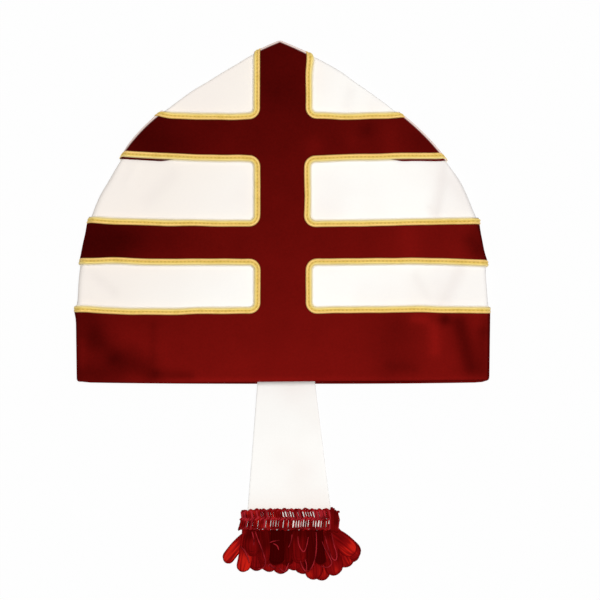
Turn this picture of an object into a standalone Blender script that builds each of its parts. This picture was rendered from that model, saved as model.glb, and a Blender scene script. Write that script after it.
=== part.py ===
"""A bishop's mitre, lying flat on its back with its front up.

Two horns of stiffened white cloth, joined at the sides, with a folded gusset between their
upper parts. Each horn carries a one-piece velvet overlay with six windows, and braid runs
along the edge of each window. A white lappet comes out at the back hem and ends in a
crocheted header with looped fringe. Metres; +X to the wearer's left in the front view,
+Y towards the tip, +Z up from the surface that the mitre lies on. Heights are measured
from the lowest point of the back hem towards the tip.
"""

import math

import bmesh
import bpy
from mathutils import Vector

# White cloth, seen from the front
HEM_WIDTH = 0.2990
SIDE_SWELL = 0.0008
SIDE_HEIGHT = 0.0560
SHOULDER_HEIGHT = 0.1990
SHOULDER_WIDTH = 0.1690
GABLE_RISE = 0.0506
FLANK_POWER = 2.1
TIP_SLOPE = 0.40
TIP_RADIUS = 0.0040
HORN_LEAN = 0.0018
CLEFT_HEIGHT = 0.1500

# White cloth, seen from the side. The front's bow shrinks with the width to the power of
# BOW_NARROWING, loses the share BOW_FADE by the tip, and is shaped by BOW_ROUNDING
PANEL_THICKNESS = 0.0015
SIDE_RADIUS = 0.0036
HORN_EDGE_RADIUS = 0.0018
EDGE_CHANGE = 0.0200
FRONT_BOW = 0.0140
BOW_NARROWING = 1.5
BOW_FADE = 0.35
BOW_ROUNDING = 1.3
FRONT_HEM_LIFT = 0.0022
GUSSET_THICKNESS = 0.0010
CLEARANCE = 0.0003

# Velvet overlay
VELVET_THICKNESS = 0.0012
UPRIGHT_WIDTH = 0.0440
HEM_BAND = 0.0552
LOWER_WINDOW = 0.0298
MIDDLE_BAR = 0.0347
MIDDLE_WINDOW = 0.0416
TOP_BAR = 0.0371
WINDOW_CORNER = 0.0028
SIDE_CLIMB = 0.0064
HEM_TURN = 0.0080

# Braid
BRAID_WIDTH = 0.0046
BRAID_THICKNESS = 0.0015
RAW_EDGE = 0.0005

# Lappet and fringe. The header's sides are rounded by a share of its thickness, its rows of
# slots lie at shares of its height, and each slot takes up a share of its pitch
LAPPET_LENGTH = 0.1073
LAPPET_TUCK = 0.0280
LAPPET_WIDTH = 0.0423
LAPPET_FLARE = 0.0215
LAPPET_THICKNESS = 0.0016
LAPPET_FALL = 0.0420
LAPPET_OFFSET = 0.0028
LAPPET_SWING = 0.0025
HEADER_WIDTH = 0.0728
HEADER_HEIGHT = 0.0147
HEADER_WALL = 0.0012
HEADER_FOOT = 0.0024
HEADER_ROUNDING = 0.4
HEADER_EASE = 0.0012
HEADER_SLOTS = 26
SLOT_LENGTH = 0.0044
SLOT_ROWS = (0.24, 0.76)
SLOT_SHARE = 0.5
LOOP_LENGTH = 0.0375
LOOP_WIDTH = 0.0118
LOOP_THICKNESS = 0.0024

# Levels worked out from the sizes above
VELVET_BASE = CLEARANCE
BRAID_BASE = CLEARANCE + VELVET_THICKNESS + CLEARANCE
BACK_FACE = BRAID_BASE + BRAID_THICKNESS
SEAM = BACK_FACE + SIDE_RADIUS + CLEARANCE / 2
FRONT_FACE = SEAM + CLEARANCE / 2 + SIDE_RADIUS
HEM_ROLL = PANEL_THICKNESS / 2 + CLEARANCE
BACK_HEM = HEM_ROLL + VELVET_THICKNESS
FRONT_HEM = BACK_HEM + FRONT_HEM_LIFT
TIP_HEIGHT = SHOULDER_HEIGHT + GABLE_RISE
GABLE_BEND = (GABLE_RISE - TIP_SLOPE * SHOULDER_WIDTH / 2) / (SHOULDER_WIDTH / 2) ** 2
TOP_LAYER = VELVET_THICKNESS + CLEARANCE
LAPPET_HIGH = BACK_FACE + PANEL_THICKNESS + CLEARANCE + VELVET_THICKNESS + CLEARANCE
LAPPET_LOW = HEADER_WALL + CLEARANCE
HEADER_THICKNESS = LAPPET_THICKNESS + 2 * (HEADER_WALL + CLEARANCE)
WHOLE_LENGTH = TIP_HEIGHT + TOP_LAYER + LAPPET_LENGTH + HEADER_FOOT + LOOP_LENGTH
HEM_Y = WHOLE_LENGTH / 2 - TIP_HEIGHT - TOP_LAYER

# Window edges: heights at the centre, and how far each line climbs towards the sides,
# as a share of SIDE_CLIMB
LOWER_SILL = HEM_BAND
LOWER_HEAD = LOWER_SILL + LOWER_WINDOW
MIDDLE_SILL = LOWER_HEAD + MIDDLE_BAR
MIDDLE_HEAD = MIDDLE_SILL + MIDDLE_WINDOW
TOP_SILL = MIDDLE_HEAD + TOP_BAR
WINDOWS = {
    "lower": {"sill": LOWER_SILL, "sill_climb": 0.0, "head": LOWER_HEAD, "head_climb": 0.0},
    "middle": {"sill": MIDDLE_SILL, "sill_climb": 0.4, "head": MIDDLE_HEAD, "head_climb": 1.0},
    "top": {"sill": TOP_SILL, "sill_climb": 0.65, "head": None, "head_climb": 0.0},
}

# Two ribs with a groove between: place across the braid and height, as shares of its
# width and thickness
BRAID_PROFILE = (
    {"across": -0.50, "height": 0.00},
    {"across": -0.38, "height": 1.00},
    {"across": -0.15, "height": 1.00},
    {"across": 0.00, "height": 0.50},
    {"across": 0.15, "height": 1.00},
    {"across": 0.38, "height": 1.00},
    {"across": 0.50, "height": 0.00},
)

# Fringe loops: where each leaves the header and where it ends, as shares of the header's
# width from its middle; its drop, width and level as shares of the loop's length, the
# loop's width and the header's thickness
LOOPS = (
    {"root": -0.44, "tip": -0.667, "drop": 0.65, "width": 0.65, "level": 0.30},
    {"root": -0.42, "tip": -0.460, "drop": 0.82, "width": 1.10, "level": 0.72},
    {"root": -0.33, "tip": -0.320, "drop": 0.78, "width": 0.95, "level": 0.28},
    {"root": -0.23, "tip": -0.190, "drop": 0.82, "width": 1.00, "level": 0.72},
    {"root": -0.13, "tip": -0.066, "drop": 0.86, "width": 1.05, "level": 0.28},
    {"root": 0.00, "tip": 0.076, "drop": 0.80, "width": 0.95, "level": 0.72},
    {"root": 0.10, "tip": 0.167, "drop": 0.92, "width": 1.00, "level": 0.28},
    {"root": 0.18, "tip": 0.247, "drop": 0.98, "width": 1.00, "level": 0.72},
    {"root": 0.26, "tip": 0.333, "drop": 1.00, "width": 1.05, "level": 0.28},
    {"root": 0.34, "tip": 0.475, "drop": 0.88, "width": 1.10, "level": 0.72},
    {"root": 0.41, "tip": 0.590, "drop": 0.70, "width": 1.10, "level": 0.28},
    {"root": 0.44, "tip": 0.672, "drop": 0.60, "width": 1.20, "level": 0.72},
    {"root": 0.45, "tip": 0.700, "drop": 0.40, "width": 1.10, "level": 0.30},
)

# Sections of each loop: place along it, and width and depth as shares of its own
LOOP_SECTIONS = (
    {"along": 0.00, "wide": 0.45, "deep": 0.60},
    {"along": 0.30, "wide": 0.72, "deep": 0.90},
    {"along": 0.62, "wide": 1.00, "deep": 1.00},
    {"along": 0.85, "wide": 0.86, "deep": 0.85},
    {"along": 1.00, "wide": 0.34, "deep": 0.50},
)

# How finely the shapes are cut
SHARP_ANGLE = 40
SLOPE_STEP = 0.0005
TINY = 1e-6
CUT_MARGIN = 0.02
ROW_SPACING = 0.018
SIDE_STEPS = 2
FRONT_SHARES = (-1.0, -0.8, -0.55, -0.28, 0.0, 0.28, 0.55, 0.8, 1.0)
BACK_SHARES = (-1.0, 0.0, 1.0)
LINE_SHARES = (0.78, 0.5, 0.24)
CORNER_STEPS = 3
GABLE_SHARES = (0.3, 0.6, 0.85)
TIP_STEPS = 3
FOLD_STEPS = 4
LAPPET_STEPS = 14
LOOP_SIDES = 6
SLIDE_ROUNDS = 4

FRONT, BACK = 1, -1


def clear_scene():
    for obj in list(bpy.data.objects):
        bpy.data.objects.remove(obj, do_unlink=True)


def new_collection(name):
    collection = bpy.data.collections.new(name)
    bpy.context.scene.collection.children.link(collection)
    return collection


def new_material(name, colour, roughness, metallic=0.0):
    material = bpy.data.materials.new(name)
    material.use_nodes = True
    shader = material.node_tree.nodes["Principled BSDF"]
    shader.inputs["Base Color"].default_value = (*colour, 1.0)
    shader.inputs["Roughness"].default_value = roughness
    shader.inputs["Metallic"].default_value = metallic
    material.diffuse_color = (*colour, 1.0)
    return material


def add_object(name, bm, collection, material=None):
    mesh = bpy.data.meshes.new(name)
    bm.to_mesh(mesh)
    bm.free()
    obj = bpy.data.objects.new(name, mesh)
    collection.objects.link(obj)
    if material:
        mesh.materials.append(material)
        mesh.shade_smooth()
        mesh.set_sharp_from_angle(angle=math.radians(SHARP_ANGLE))
    else:
        obj.hide_render = True
        obj.display_type = "WIRE"
    return obj


def ease(value):
    value = min(max(value, 0.0), 1.0)
    return value * value * (3 - 2 * value)


# Outline of the white cloth


def half_width(height):
    """Half the cloth's width: near-upright sides, rounded shoulders, gently curved gables."""
    if height > SHOULDER_HEIGHT:
        root = math.sqrt(TIP_SLOPE**2 + 4 * GABLE_BEND * (TIP_HEIGHT - height))
        return (root - TIP_SLOPE) / (2 * GABLE_BEND)
    widest = HEM_WIDTH / 2 + SIDE_SWELL
    if height <= SIDE_HEIGHT:
        return widest - SIDE_SWELL * (1 - height / SIDE_HEIGHT)
    shoulder_share = SHOULDER_WIDTH / 2 / widest
    rise = (SHOULDER_HEIGHT - SIDE_HEIGHT) / (1 - shoulder_share**FLANK_POWER) ** (1 / FLANK_POWER)
    return widest * (1 - ((height - SIDE_HEIGHT) / rise) ** FLANK_POWER) ** (1 / FLANK_POWER)


def edge_normal(height):
    """The outline's outward direction on the right side, across and up."""
    rise = half_width(height + SLOPE_STEP) - half_width(height - SLOPE_STEP)
    slope = rise / (2 * SLOPE_STEP)
    return Vector((1.0, -slope)).normalized()


def lean(height):
    """The horns stand a little to one side of the hem's middle."""
    return -HORN_LEAN * ease((height - CLEFT_HEIGHT) / (SHOULDER_HEIGHT - CLEFT_HEIGHT))


def side_radius(height):
    """Radius of the turned edge: round at the closed sides, tighter on the free horns."""
    share = ease((height - CLEFT_HEIGHT) / EDGE_CHANGE)
    return SIDE_RADIUS + (HORN_EDGE_RADIUS - SIDE_RADIUS) * share


def outline_row(height):
    return {"across": half_width(height), "height": height, "normal": edge_normal(height)}


def flank_rows(bottom):
    """Rows from the hem to the shoulder, through each height where something meets the side."""
    stops = [bottom, LOWER_SILL, LOWER_HEAD, MIDDLE_SILL, CLEFT_HEIGHT, MIDDLE_HEAD + SIDE_CLIMB / 2]
    stops = sorted(stops) + [SHOULDER_HEIGHT]
    heights = [stops[0]]
    for low, high in zip(stops, stops[1:]):
        steps = max(1, math.ceil((high - low) / ROW_SPACING))
        heights += [low + (high - low) * step / steps for step in range(1, steps + 1)]
    return [outline_row(height) for height in heights]


def gable_height(across):
    """Height of the gable's edge this far from the tip's middle. It steepens evenly outwards."""
    return TIP_HEIGHT - TIP_SLOPE * across - GABLE_BEND * across**2


def gable_rows():
    return [outline_row(SHOULDER_HEIGHT + GABLE_RISE * share) for share in GABLE_SHARES]


def tip_rows():
    """Rows up the gable and round the tip, where left and right meet."""
    gable = math.atan(TIP_SLOPE)
    middle = TIP_HEIGHT - TIP_RADIUS / math.cos(gable)
    rows = gable_rows()
    for step in range(TIP_STEPS + 1):
        angle = gable * (1 - step / TIP_STEPS)
        normal = Vector((math.sin(angle), math.cos(angle)))
        across, height = TIP_RADIUS * normal.x, middle + TIP_RADIUS * normal.y
        rows.append({"across": across, "height": height, "normal": normal})
    return rows


# Faces of the white cloth, and what lies on them


def face_level(side, across, height):
    """Level of the white cloth's outer face. The back is flat, and the front bows up."""
    if side == BACK:
        return BACK_FACE
    half = max(half_width(height), TINY)
    share = min(abs(across - lean(height)) / half, 1.0)
    bow = FRONT_BOW * (half / (HEM_WIDTH / 2)) ** BOW_NARROWING
    bow *= 1 - BOW_FADE * height / TIP_HEIGHT
    return FRONT_FACE + bow * (1 - share**2) ** BOW_ROUNDING


def facet_radius(radius, angle):
    """Distance to the flats that stand for a round edge, which keep every layer parallel."""
    facet = math.pi / 2 / SIDE_STEPS
    return radius / math.cos(angle - facet * round(angle / facet))


def turned_level(side, across, height, radius, offset, angle):
    """Level of a point at this angle of the turned edge, this far outside the cloth."""
    drop = radius - facet_radius(radius + offset, angle) * math.sin(angle)
    return face_level(side, across, height) - side * drop


def on_cloth(side, row, column, offset):
    """A point of the layer that lies this far outside the white cloth's face."""
    share, angle = column
    radius = side_radius(row["height"])
    inward = radius - facet_radius(radius + offset, angle) * math.cos(angle)
    across = row["across"] - row["normal"].x * inward
    height = row["height"] - row["normal"].y * inward
    across = lean(height) + across * share
    return Vector(
        (across, height + HEM_Y, turned_level(side, across, height, radius, offset, angle))
    )


def edge_depth(point):
    """How far inside the outline a point of the flat pattern lies, and the way out there."""
    hand = 1 if point.x > lean(point.y) else -1
    normal = edge_normal(point.y)
    depth = (half_width(point.y) - abs(point.x - lean(point.y))) * normal.x
    return depth, Vector((hand * normal.x, normal.y))


def slide_to_bend(point, along, bend):
    """Slides a point of the flat pattern to where it is this far round the turned edge."""
    for _ in range(SLIDE_ROUNDS):
        depth, outward = edge_depth(point)
        target = side_radius(point.y) - bend
        point = point + along * (depth - target) / along.dot(outward)
    return point


def round_edge(side, point, offset):
    """Wraps a point of the flat pattern over the turned edge, this far outside the cloth."""
    depth, outward = edge_depth(point)
    across, height = point
    radius = side_radius(height)
    angle = math.pi / 2
    if depth < radius:
        angle = max(0.0, math.pi / 2 - (radius - depth) / (radius + BRAID_BASE))
        shift = depth - radius + facet_radius(radius + offset, angle) * math.cos(angle)
        across += outward.x * shift
        height += outward.y * shift
    level = turned_level(side, across, height, radius, offset, angle)
    return Vector((across, height + HEM_Y, level))


def turned_angles():
    """Angles of the turned edge's corners, from the seam up."""
    return [0.0] + [math.pi / 2 * (step + 0.5) / SIDE_STEPS for step in range(SIDE_STEPS)]


def bends(radius):
    """Lengths round the turned edge to each of its corners, from the seam to the face."""
    return [(radius + BRAID_BASE) * (math.pi / 2 - angle) for angle in turned_angles()] + [0.0]


def columns(shares):
    """Columns from edge to edge: those of the turned edges, then those of the face."""
    left = [(-1.0, angle) for angle in turned_angles()]
    face = [(share, math.pi / 2) for share in shares]
    right = [(1.0, angle) for angle in reversed(turned_angles())]
    return left + face + right


def grid_mesh(points):
    """An open surface from rows of points, with coinciding points made one."""
    bm = bmesh.new()
    bmesh.ops.create_grid(bm, x_segments=len(points[0]) - 1, y_segments=len(points) - 1, size=1)
    bm.verts.ensure_lookup_table()
    flat = [point for row in points for point in row]
    for vert, point in zip(bm.verts, flat):
        vert.co = point
    return bm


def finish_surface(bm, side):
    """Merges the tip's doubles and turns the surface to face away from the mitre's middle."""
    bmesh.ops.remove_doubles(bm, verts=bm.verts, dist=TINY)
    bmesh.ops.recalc_face_normals(bm, faces=bm.faces)
    outermost = max(bm.faces, key=lambda face: face.calc_center_median().z * side)
    if outermost.normal.z * side < 0:
        bmesh.ops.reverse_faces(bm, faces=bm.faces)


def add_thickness(obj, thickness, offset):
    solidify = obj.modifiers.new("Thickness", "SOLIDIFY")
    solidify.thickness = thickness
    solidify.offset = offset
    solidify.use_even_offset = True


# Pieces of white cloth


def make_panel(name, side, bottom, shares, collection, material):
    rows = flank_rows(bottom) + tip_rows()
    points = [[on_cloth(side, row, column, 0.0) for column in columns(shares)] for row in rows]
    bm = grid_mesh(points)
    finish_surface(bm, side)
    obj = add_object(name, bm, collection, material)
    add_thickness(obj, PANEL_THICKNESS, -1)


def make_gusset(collection, material):
    """One cloth: a leaf under the front horn, a fold across the cleft, a leaf on the back."""
    flank = [row for row in flank_rows(BACK_HEM) if row["height"] >= CLEFT_HEIGHT - TINY]
    rows = flank + gable_rows()
    shares = [(share, math.pi / 2) for share in FRONT_SHARES]
    depth = -PANEL_THICKNESS - CLEARANCE
    front = [[on_cloth(FRONT, row, share, depth) for share in shares] for row in rows]
    back = [[on_cloth(BACK, row, share, depth) for share in shares] for row in rows]
    fold = []
    for step in range(1, FOLD_STEPS):
        angle = math.pi * step / FOLD_STEPS
        row = []
        for above, below in zip(front[0], back[0]):
            middle, half = (above + below) / 2, (above.z - below.z) / 2
            row.append(middle + Vector((0, -half * math.sin(angle), half * math.cos(angle))))
        fold.append(row)
    bm = grid_mesh(front[::-1] + fold + back)
    finish_surface(bm, FRONT)
    obj = add_object("crown_gusset", bm, collection, material)
    add_thickness(obj, GUSSET_THICKNESS, -1)


def lappet_middle(height):
    return LAPPET_OFFSET + LAPPET_SWING * max(0.0, -height) / LAPPET_LENGTH


def make_lappet(collection, material):
    """A double cloth that leaves the back hem, sinks to the surface and flares to its end."""
    points = []
    for step in range(LAPPET_STEPS + 1):
        height = LAPPET_TUCK - (LAPPET_TUCK + LAPPET_LENGTH) * step / LAPPET_STEPS
        share = ease((height + LAPPET_FALL + HEM_TURN / 2) / LAPPET_FALL)
        level = LAPPET_LOW + (LAPPET_HIGH - LAPPET_LOW) * share
        half = (LAPPET_WIDTH + LAPPET_FLARE * max(0.0, -height) / LAPPET_LENGTH) / 2
        middle = lappet_middle(height)
        row = [Vector((middle + half * across, height + HEM_Y, level)) for across in (-1, 0, 1)]
        points.append(row)
    bm = grid_mesh(points)
    finish_surface(bm, FRONT)
    obj = add_object("lappet", bm, collection, material)
    add_thickness(obj, LAPPET_THICKNESS, 1)


# Velvet overlay with its windows


def line_height(line, climb, across):
    return line + climb * SIDE_CLIMB * (across / (HEM_WIDTH / 2)) ** 2


def end_places(reach, slant, height):
    """Places along a line at each corner of the turned edge, from the seam inwards."""
    radius = side_radius(height)
    return [reach - (radius - bend) / slant for bend in bends(radius)]


def line_places(line, climb, hand):
    """Places along a sill or head, from the side seam to the window's inner corner."""
    start = UPRIGHT_WIDTH / 2 + WINDOW_CORNER
    height = line_height(line, climb, HEM_WIDTH / 2)
    height = line_height(line, climb, half_width(height))
    reach = half_width(height) + hand * lean(height)
    places = end_places(reach, edge_normal(height).x, height)
    return places + [start + (places[-1] - start) * share for share in LINE_SHARES]


def corner_points(middle, radius, first, last):
    points = []
    for step in range(CORNER_STEPS + 1):
        angle = math.radians(first + (last - first) * step / CORNER_STEPS)
        points.append(middle + radius * Vector((math.cos(angle), math.sin(angle))))
    return points


def window_path(window, hand, margin):
    """Flat path along a window's edge, this far outside it: side, corner, upright, and on."""
    inner = UPRIGHT_WIDTH / 2 + WINDOW_CORNER
    radius = WINDOW_CORNER + margin
    sill, climb = window["sill"], window["sill_climb"]
    path = [
        Vector((place, line_height(sill, climb, place) - margin))
        for place in line_places(sill - margin, climb, hand)
    ]
    path += corner_points(Vector((inner, sill + WINDOW_CORNER)), radius, 270, 180)
    if window["head"] is None:
        upright = inner - radius
        edge = gable_height(upright - hand * lean(TIP_HEIGHT))
        places = end_places(edge, edge_normal(edge).y, edge)
        path.append(Vector((upright, (sill + places[-1]) / 2)))
        path += [Vector((upright, place)) for place in reversed(places)]
    else:
        head, climb = window["head"], window["head_climb"]
        path += corner_points(Vector((inner, head - WINDOW_CORNER)), radius, 180, 90)
        path += [
            Vector((place, line_height(head, climb, place) + margin))
            for place in reversed(line_places(head + margin, climb, hand))
        ]
    return [Vector((hand * point.x, point.y)) for point in path]


def make_window_cutters(collection):
    """Upright blocks of the windows' outlines, running out past the sides."""
    beyond = HEM_WIDTH / 2 + CUT_MARGIN
    summit = TIP_HEIGHT + CUT_MARGIN
    depth = FRONT_FACE + FRONT_BOW + 2 * CUT_MARGIN
    for name, window in WINDOWS.items():
        for hand in (-1, 1):
            path = window_path(window, hand, 0.0)
            if window["head"] is None:
                corners = [Vector((path[-1].x, summit)), Vector((hand * beyond, summit))]
            else:
                corners = [Vector((hand * beyond, path[-1].y))]
            corners.append(Vector((hand * beyond, path[0].y)))
            bm = bmesh.new()
            ring = [Vector((point.x, point.y + HEM_Y, -CUT_MARGIN)) for point in path + corners]
            face = bm.faces.new([bm.verts.new(point) for point in ring])
            made = bmesh.ops.extrude_face_region(bm, geom=[face])
            raised = [item for item in made["geom"] if isinstance(item, bmesh.types.BMVert)]
            bmesh.ops.translate(bm, verts=raised, vec=(0, 0, depth))
            bmesh.ops.recalc_face_normals(bm, faces=bm.faces)
            add_object(f"window_{name}_{'right' if hand > 0 else 'left'}", bm, collection)


def hem_rows(side, bottom, shares):
    """Rows of the hem's turn: back up inside the cloth's edge, then round its end."""
    rows = []
    for height in (bottom + HEM_TURN, bottom + HEM_TURN / 2, bottom):
        row = []
        for column in shares:
            place = on_cloth(side, outline_row(height), column, -PANEL_THICKNESS - CLEARANCE)
            row.append(place)
        rows.append(row)
    for step in range(1, FOLD_STEPS):
        angle = math.pi * (1 - step / FOLD_STEPS)
        row = []
        for column in shares:
            place = on_cloth(side, outline_row(bottom), column, -PANEL_THICKNESS / 2)
            turn = Vector((0, -math.sin(angle), side * math.cos(angle)))
            row.append(place + HEM_ROLL * turn)
        rows.append(row)
    return rows


def make_velvet(name, side, bottom, shares, collection, material, windows):
    """A cloth over the whole horn, turned in at the hem, with its windows cut out."""
    all_columns = columns(shares)
    turned = len(turned_angles())
    faced = range(turned, len(all_columns) - turned)
    rows = [
        [on_cloth(side, row, column, VELVET_BASE) for column in all_columns]
        for row in flank_rows(bottom) + tip_rows()
    ]
    for point in rows[0][:turned] + rows[0][-turned:]:
        point.y -= HEM_ROLL
    turn = hem_rows(side, bottom, all_columns)
    bm = grid_mesh(turn + rows)
    width = len(all_columns)
    spare = [
        vert
        for index, vert in enumerate(bm.verts)
        if index // width < len(turn) and index % width not in faced
    ]
    bmesh.ops.delete(bm, geom=spare, context="VERTS")
    finish_surface(bm, side)
    obj = add_object(name, bm, collection, material)
    add_thickness(obj, VELVET_THICKNESS, 1)
    cut = obj.modifiers.new("Windows", "BOOLEAN")
    cut.operation = "DIFFERENCE"
    cut.operand_type = "COLLECTION"
    cut.collection = windows


# Braid


def loft(rings):
    """A closed solid through rings of points, with flat ends."""
    bm = bmesh.new()
    made = [[bm.verts.new(point) for point in ring] for ring in rings]
    for ring, following in zip(made, made[1:]):
        count = len(ring)
        for index in range(count):
            after = (index + 1) % count
            bm.faces.new((ring[index], ring[after], following[after], following[index]))
    bm.faces.new(made[0])
    bm.faces.new(made[-1])
    bmesh.ops.recalc_face_normals(bm, faces=bm.faces)
    return bm


def braid_rings(side, path):
    """The braid's section at each point of its path. Round the edge it turns with the edge."""
    corners = len(turned_angles()) + 1
    rings = []
    for index, point in enumerate(path):
        before, after = path[max(index - 1, 0)], path[min(index + 1, len(path) - 1)]
        along = (after - before).normalized()
        sideways = Vector((along.y, -along.x))
        corner = min(index, len(path) - 1 - index)
        ring = []
        for spot in BRAID_PROFILE:
            place = point + sideways * BRAID_WIDTH * spot["across"]
            if corner < corners:
                place = slide_to_bend(place, along, bends(side_radius(place.y))[corner])
            offset = BRAID_BASE + BRAID_THICKNESS * spot["height"]
            ring.append(round_edge(side, place, offset))
        rings.append(ring)
    return rings


def make_braids(collection, material):
    """Soutache along each window, on the velvet, with the velvet's raw edge just showing."""
    for side, side_name in ((FRONT, "front"), (BACK, "back")):
        for name, window in WINDOWS.items():
            for hand, hand_name in ((-1, "left"), (1, "right")):
                path = window_path(window, hand, RAW_EDGE + BRAID_WIDTH / 2)
                bm = loft(braid_rings(side, path))
                add_object(f"{side_name}_braid_{name}_{hand_name}", bm, collection, material)


# Fringe


def box_mesh(bm, low, high):
    made = bmesh.ops.create_cube(bm, size=1)
    middle, size = (low + high) / 2, high - low
    bmesh.ops.scale(bm, vec=size, verts=made["verts"])
    bmesh.ops.translate(bm, vec=middle, verts=made["verts"])
    return made["verts"]


def make_header(collection, material):
    """A flat pocket round the lappet's end, closed below, with rounded sides."""
    middle = lappet_middle(-LAPPET_LENGTH)
    bottom = HEM_Y - LAPPET_LENGTH
    bm = bmesh.new()
    low = Vector((middle - HEADER_WIDTH / 2, bottom - HEADER_FOOT, 0))
    high = Vector((middle + HEADER_WIDTH / 2, bottom + HEADER_HEIGHT, HEADER_THICKNESS))
    box_mesh(bm, low, high)
    sides = [edge for edge in bm.edges if abs((edge.verts[0].co - edge.verts[1].co).y) > HEADER_HEIGHT]
    bmesh.ops.bevel(
        bm,
        geom=sides,
        offset=HEADER_THICKNESS * HEADER_ROUNDING,
        segments=2,
        profile=0.5,
        affect="EDGES",
    )
    return add_object("lappet_fringe", bm, collection, material)


def make_header_cutters(collection):
    """The pocket's hollow, and the two rows of slots that go through both its walls."""
    middle = lappet_middle(-LAPPET_LENGTH)
    bottom = HEM_Y - LAPPET_LENGTH
    half = (LAPPET_WIDTH + LAPPET_FLARE) / 2 + HEADER_EASE
    bm = bmesh.new()
    low = Vector((middle - half, bottom - CLEARANCE, HEADER_WALL))
    top = bottom + HEADER_HEIGHT + CUT_MARGIN
    high = Vector((middle + half, top, HEADER_THICKNESS - HEADER_WALL))
    box_mesh(bm, low, high)
    hollow = add_object("header_hollow", bm, collection)
    pitch = 2 * half / HEADER_SLOTS
    wide = pitch * SLOT_SHARE
    bm = bmesh.new()
    for row in SLOT_ROWS:
        level = bottom + HEADER_HEIGHT * row
        for slot in range(HEADER_SLOTS):
            place = middle - half + pitch * (slot + 0.5)
            low = Vector((place - wide / 2, level - SLOT_LENGTH / 2, -CUT_MARGIN))
            high = Vector((place + wide / 2, level + SLOT_LENGTH / 2, CUT_MARGIN))
            box_mesh(bm, low, high)
    slots = add_object("header_slots", bm, collection)
    return hollow, slots


def make_loops(collection):
    """Flattened loops, narrow at the header and round at the end."""
    middle = lappet_middle(-LAPPET_LENGTH)
    bottom = -LAPPET_LENGTH - HEADER_FOOT
    for number, loop in enumerate(LOOPS, 1):
        start = Vector((middle + HEADER_WIDTH * loop["root"], bottom + HEADER_FOOT / 2))
        end = Vector((middle + HEADER_WIDTH * loop["tip"], bottom - LOOP_LENGTH * loop["drop"]))
        along = (end - start).normalized()
        sideways = Vector((-along.y, along.x))
        level = HEADER_THICKNESS * loop["level"]
        rings = []
        for section in LOOP_SECTIONS:
            place = start.lerp(end, section["along"])
            half_wide = LOOP_WIDTH / 2 * loop["width"] * section["wide"]
            half_deep = min(LOOP_THICKNESS / 2 * section["deep"], level)
            ring = []
            for step in range(LOOP_SIDES):
                angle = 2 * math.pi * step / LOOP_SIDES
                spot = place + sideways * half_wide * math.cos(angle)
                rise = half_deep * math.sin(angle) / math.sin(2 * math.pi / LOOP_SIDES)
                ring.append(Vector((spot.x, spot.y + HEM_Y, level + rise)))
            rings.append(ring)
        add_object(f"loop_{number}", loft(rings), collection)


def make_fringe(collection, cutters, material):
    header = make_header(collection, material)
    hollow, slots = make_header_cutters(cutters)
    loops = new_collection("fringe_loops")
    loops.hide_render = True
    make_loops(loops)
    for name, cutter in (("Hollow", hollow), ("Slots", slots)):
        cut = header.modifiers.new(name, "BOOLEAN")
        cut.operation = "DIFFERENCE"
        cut.object = cutter
    join = header.modifiers.new("Loops", "BOOLEAN")
    join.operation = "UNION"
    join.operand_type = "COLLECTION"
    join.collection = loops


def main():
    clear_scene()
    parts = new_collection("mitre")
    cutters = new_collection("cutters")
    windows = new_collection("window_cutters")
    cutters.hide_render = True
    windows.hide_render = True
    white = new_material("white_cloth", (0.90, 0.87, 0.82), 0.75)
    velvet = new_material("red_velvet", (0.13, 0.004, 0.005), 0.80)
    gold = new_material("gold_braid", (0.80, 0.55, 0.14), 0.45, 0.35)
    crimson = new_material("crimson_yarn", (0.22, 0.003, 0.008), 0.55)
    make_panel("front_panel", FRONT, FRONT_HEM, FRONT_SHARES, parts, white)
    make_panel("back_panel", BACK, BACK_HEM, BACK_SHARES, parts, white)
    make_gusset(parts, white)
    make_window_cutters(windows)
    make_velvet("front_velvet", FRONT, FRONT_HEM, FRONT_SHARES, parts, velvet, windows)
    make_velvet("back_velvet", BACK, BACK_HEM, BACK_SHARES, parts, velvet, windows)
    make_braids(parts, gold)
    make_lappet(parts, white)
    make_fringe(parts, cutters, crimson)


main()
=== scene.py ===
import math
import random
from collections import namedtuple

import bmesh
import bpy
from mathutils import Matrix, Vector, noise
from mathutils.geometry import interpolate_bezier


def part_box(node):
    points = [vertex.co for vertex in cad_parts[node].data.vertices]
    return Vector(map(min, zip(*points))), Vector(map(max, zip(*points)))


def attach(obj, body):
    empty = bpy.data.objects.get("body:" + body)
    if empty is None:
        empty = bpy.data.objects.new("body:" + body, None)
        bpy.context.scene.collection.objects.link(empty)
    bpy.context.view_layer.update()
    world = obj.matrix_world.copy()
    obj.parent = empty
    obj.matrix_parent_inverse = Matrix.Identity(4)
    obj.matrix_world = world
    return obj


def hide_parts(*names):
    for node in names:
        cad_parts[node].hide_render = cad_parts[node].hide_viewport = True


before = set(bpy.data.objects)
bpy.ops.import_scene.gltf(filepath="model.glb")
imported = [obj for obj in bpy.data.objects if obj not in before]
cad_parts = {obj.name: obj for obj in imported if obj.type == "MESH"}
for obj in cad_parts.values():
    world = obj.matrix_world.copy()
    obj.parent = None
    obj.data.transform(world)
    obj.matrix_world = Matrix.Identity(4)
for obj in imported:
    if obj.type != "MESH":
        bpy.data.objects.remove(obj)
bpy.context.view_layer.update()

# The horns are two sheets of stiffened ivory cotton, cut to one dome and joined along their
# lower sides. The back one lies flat, and the front one bows up over it with soft creases.
# Their sides are turned under, and heights are measured from the lowest point of the hem.
FRONT, BACK = 1, -1
HEM_WIDTH = 0.2990
SIDE_SWELL = 0.0008
SIDE_HEIGHT = 0.0560
SHOULDER_HEIGHT = 0.1990
SHOULDER_WIDTH = 0.1690
GABLE_RISE = 0.0506
FLANK_POWER = 2.1
TIP_SLOPE = 0.40
TIP_RADIUS = 0.0040
TIP_HEIGHT = SHOULDER_HEIGHT + GABLE_RISE
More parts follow.
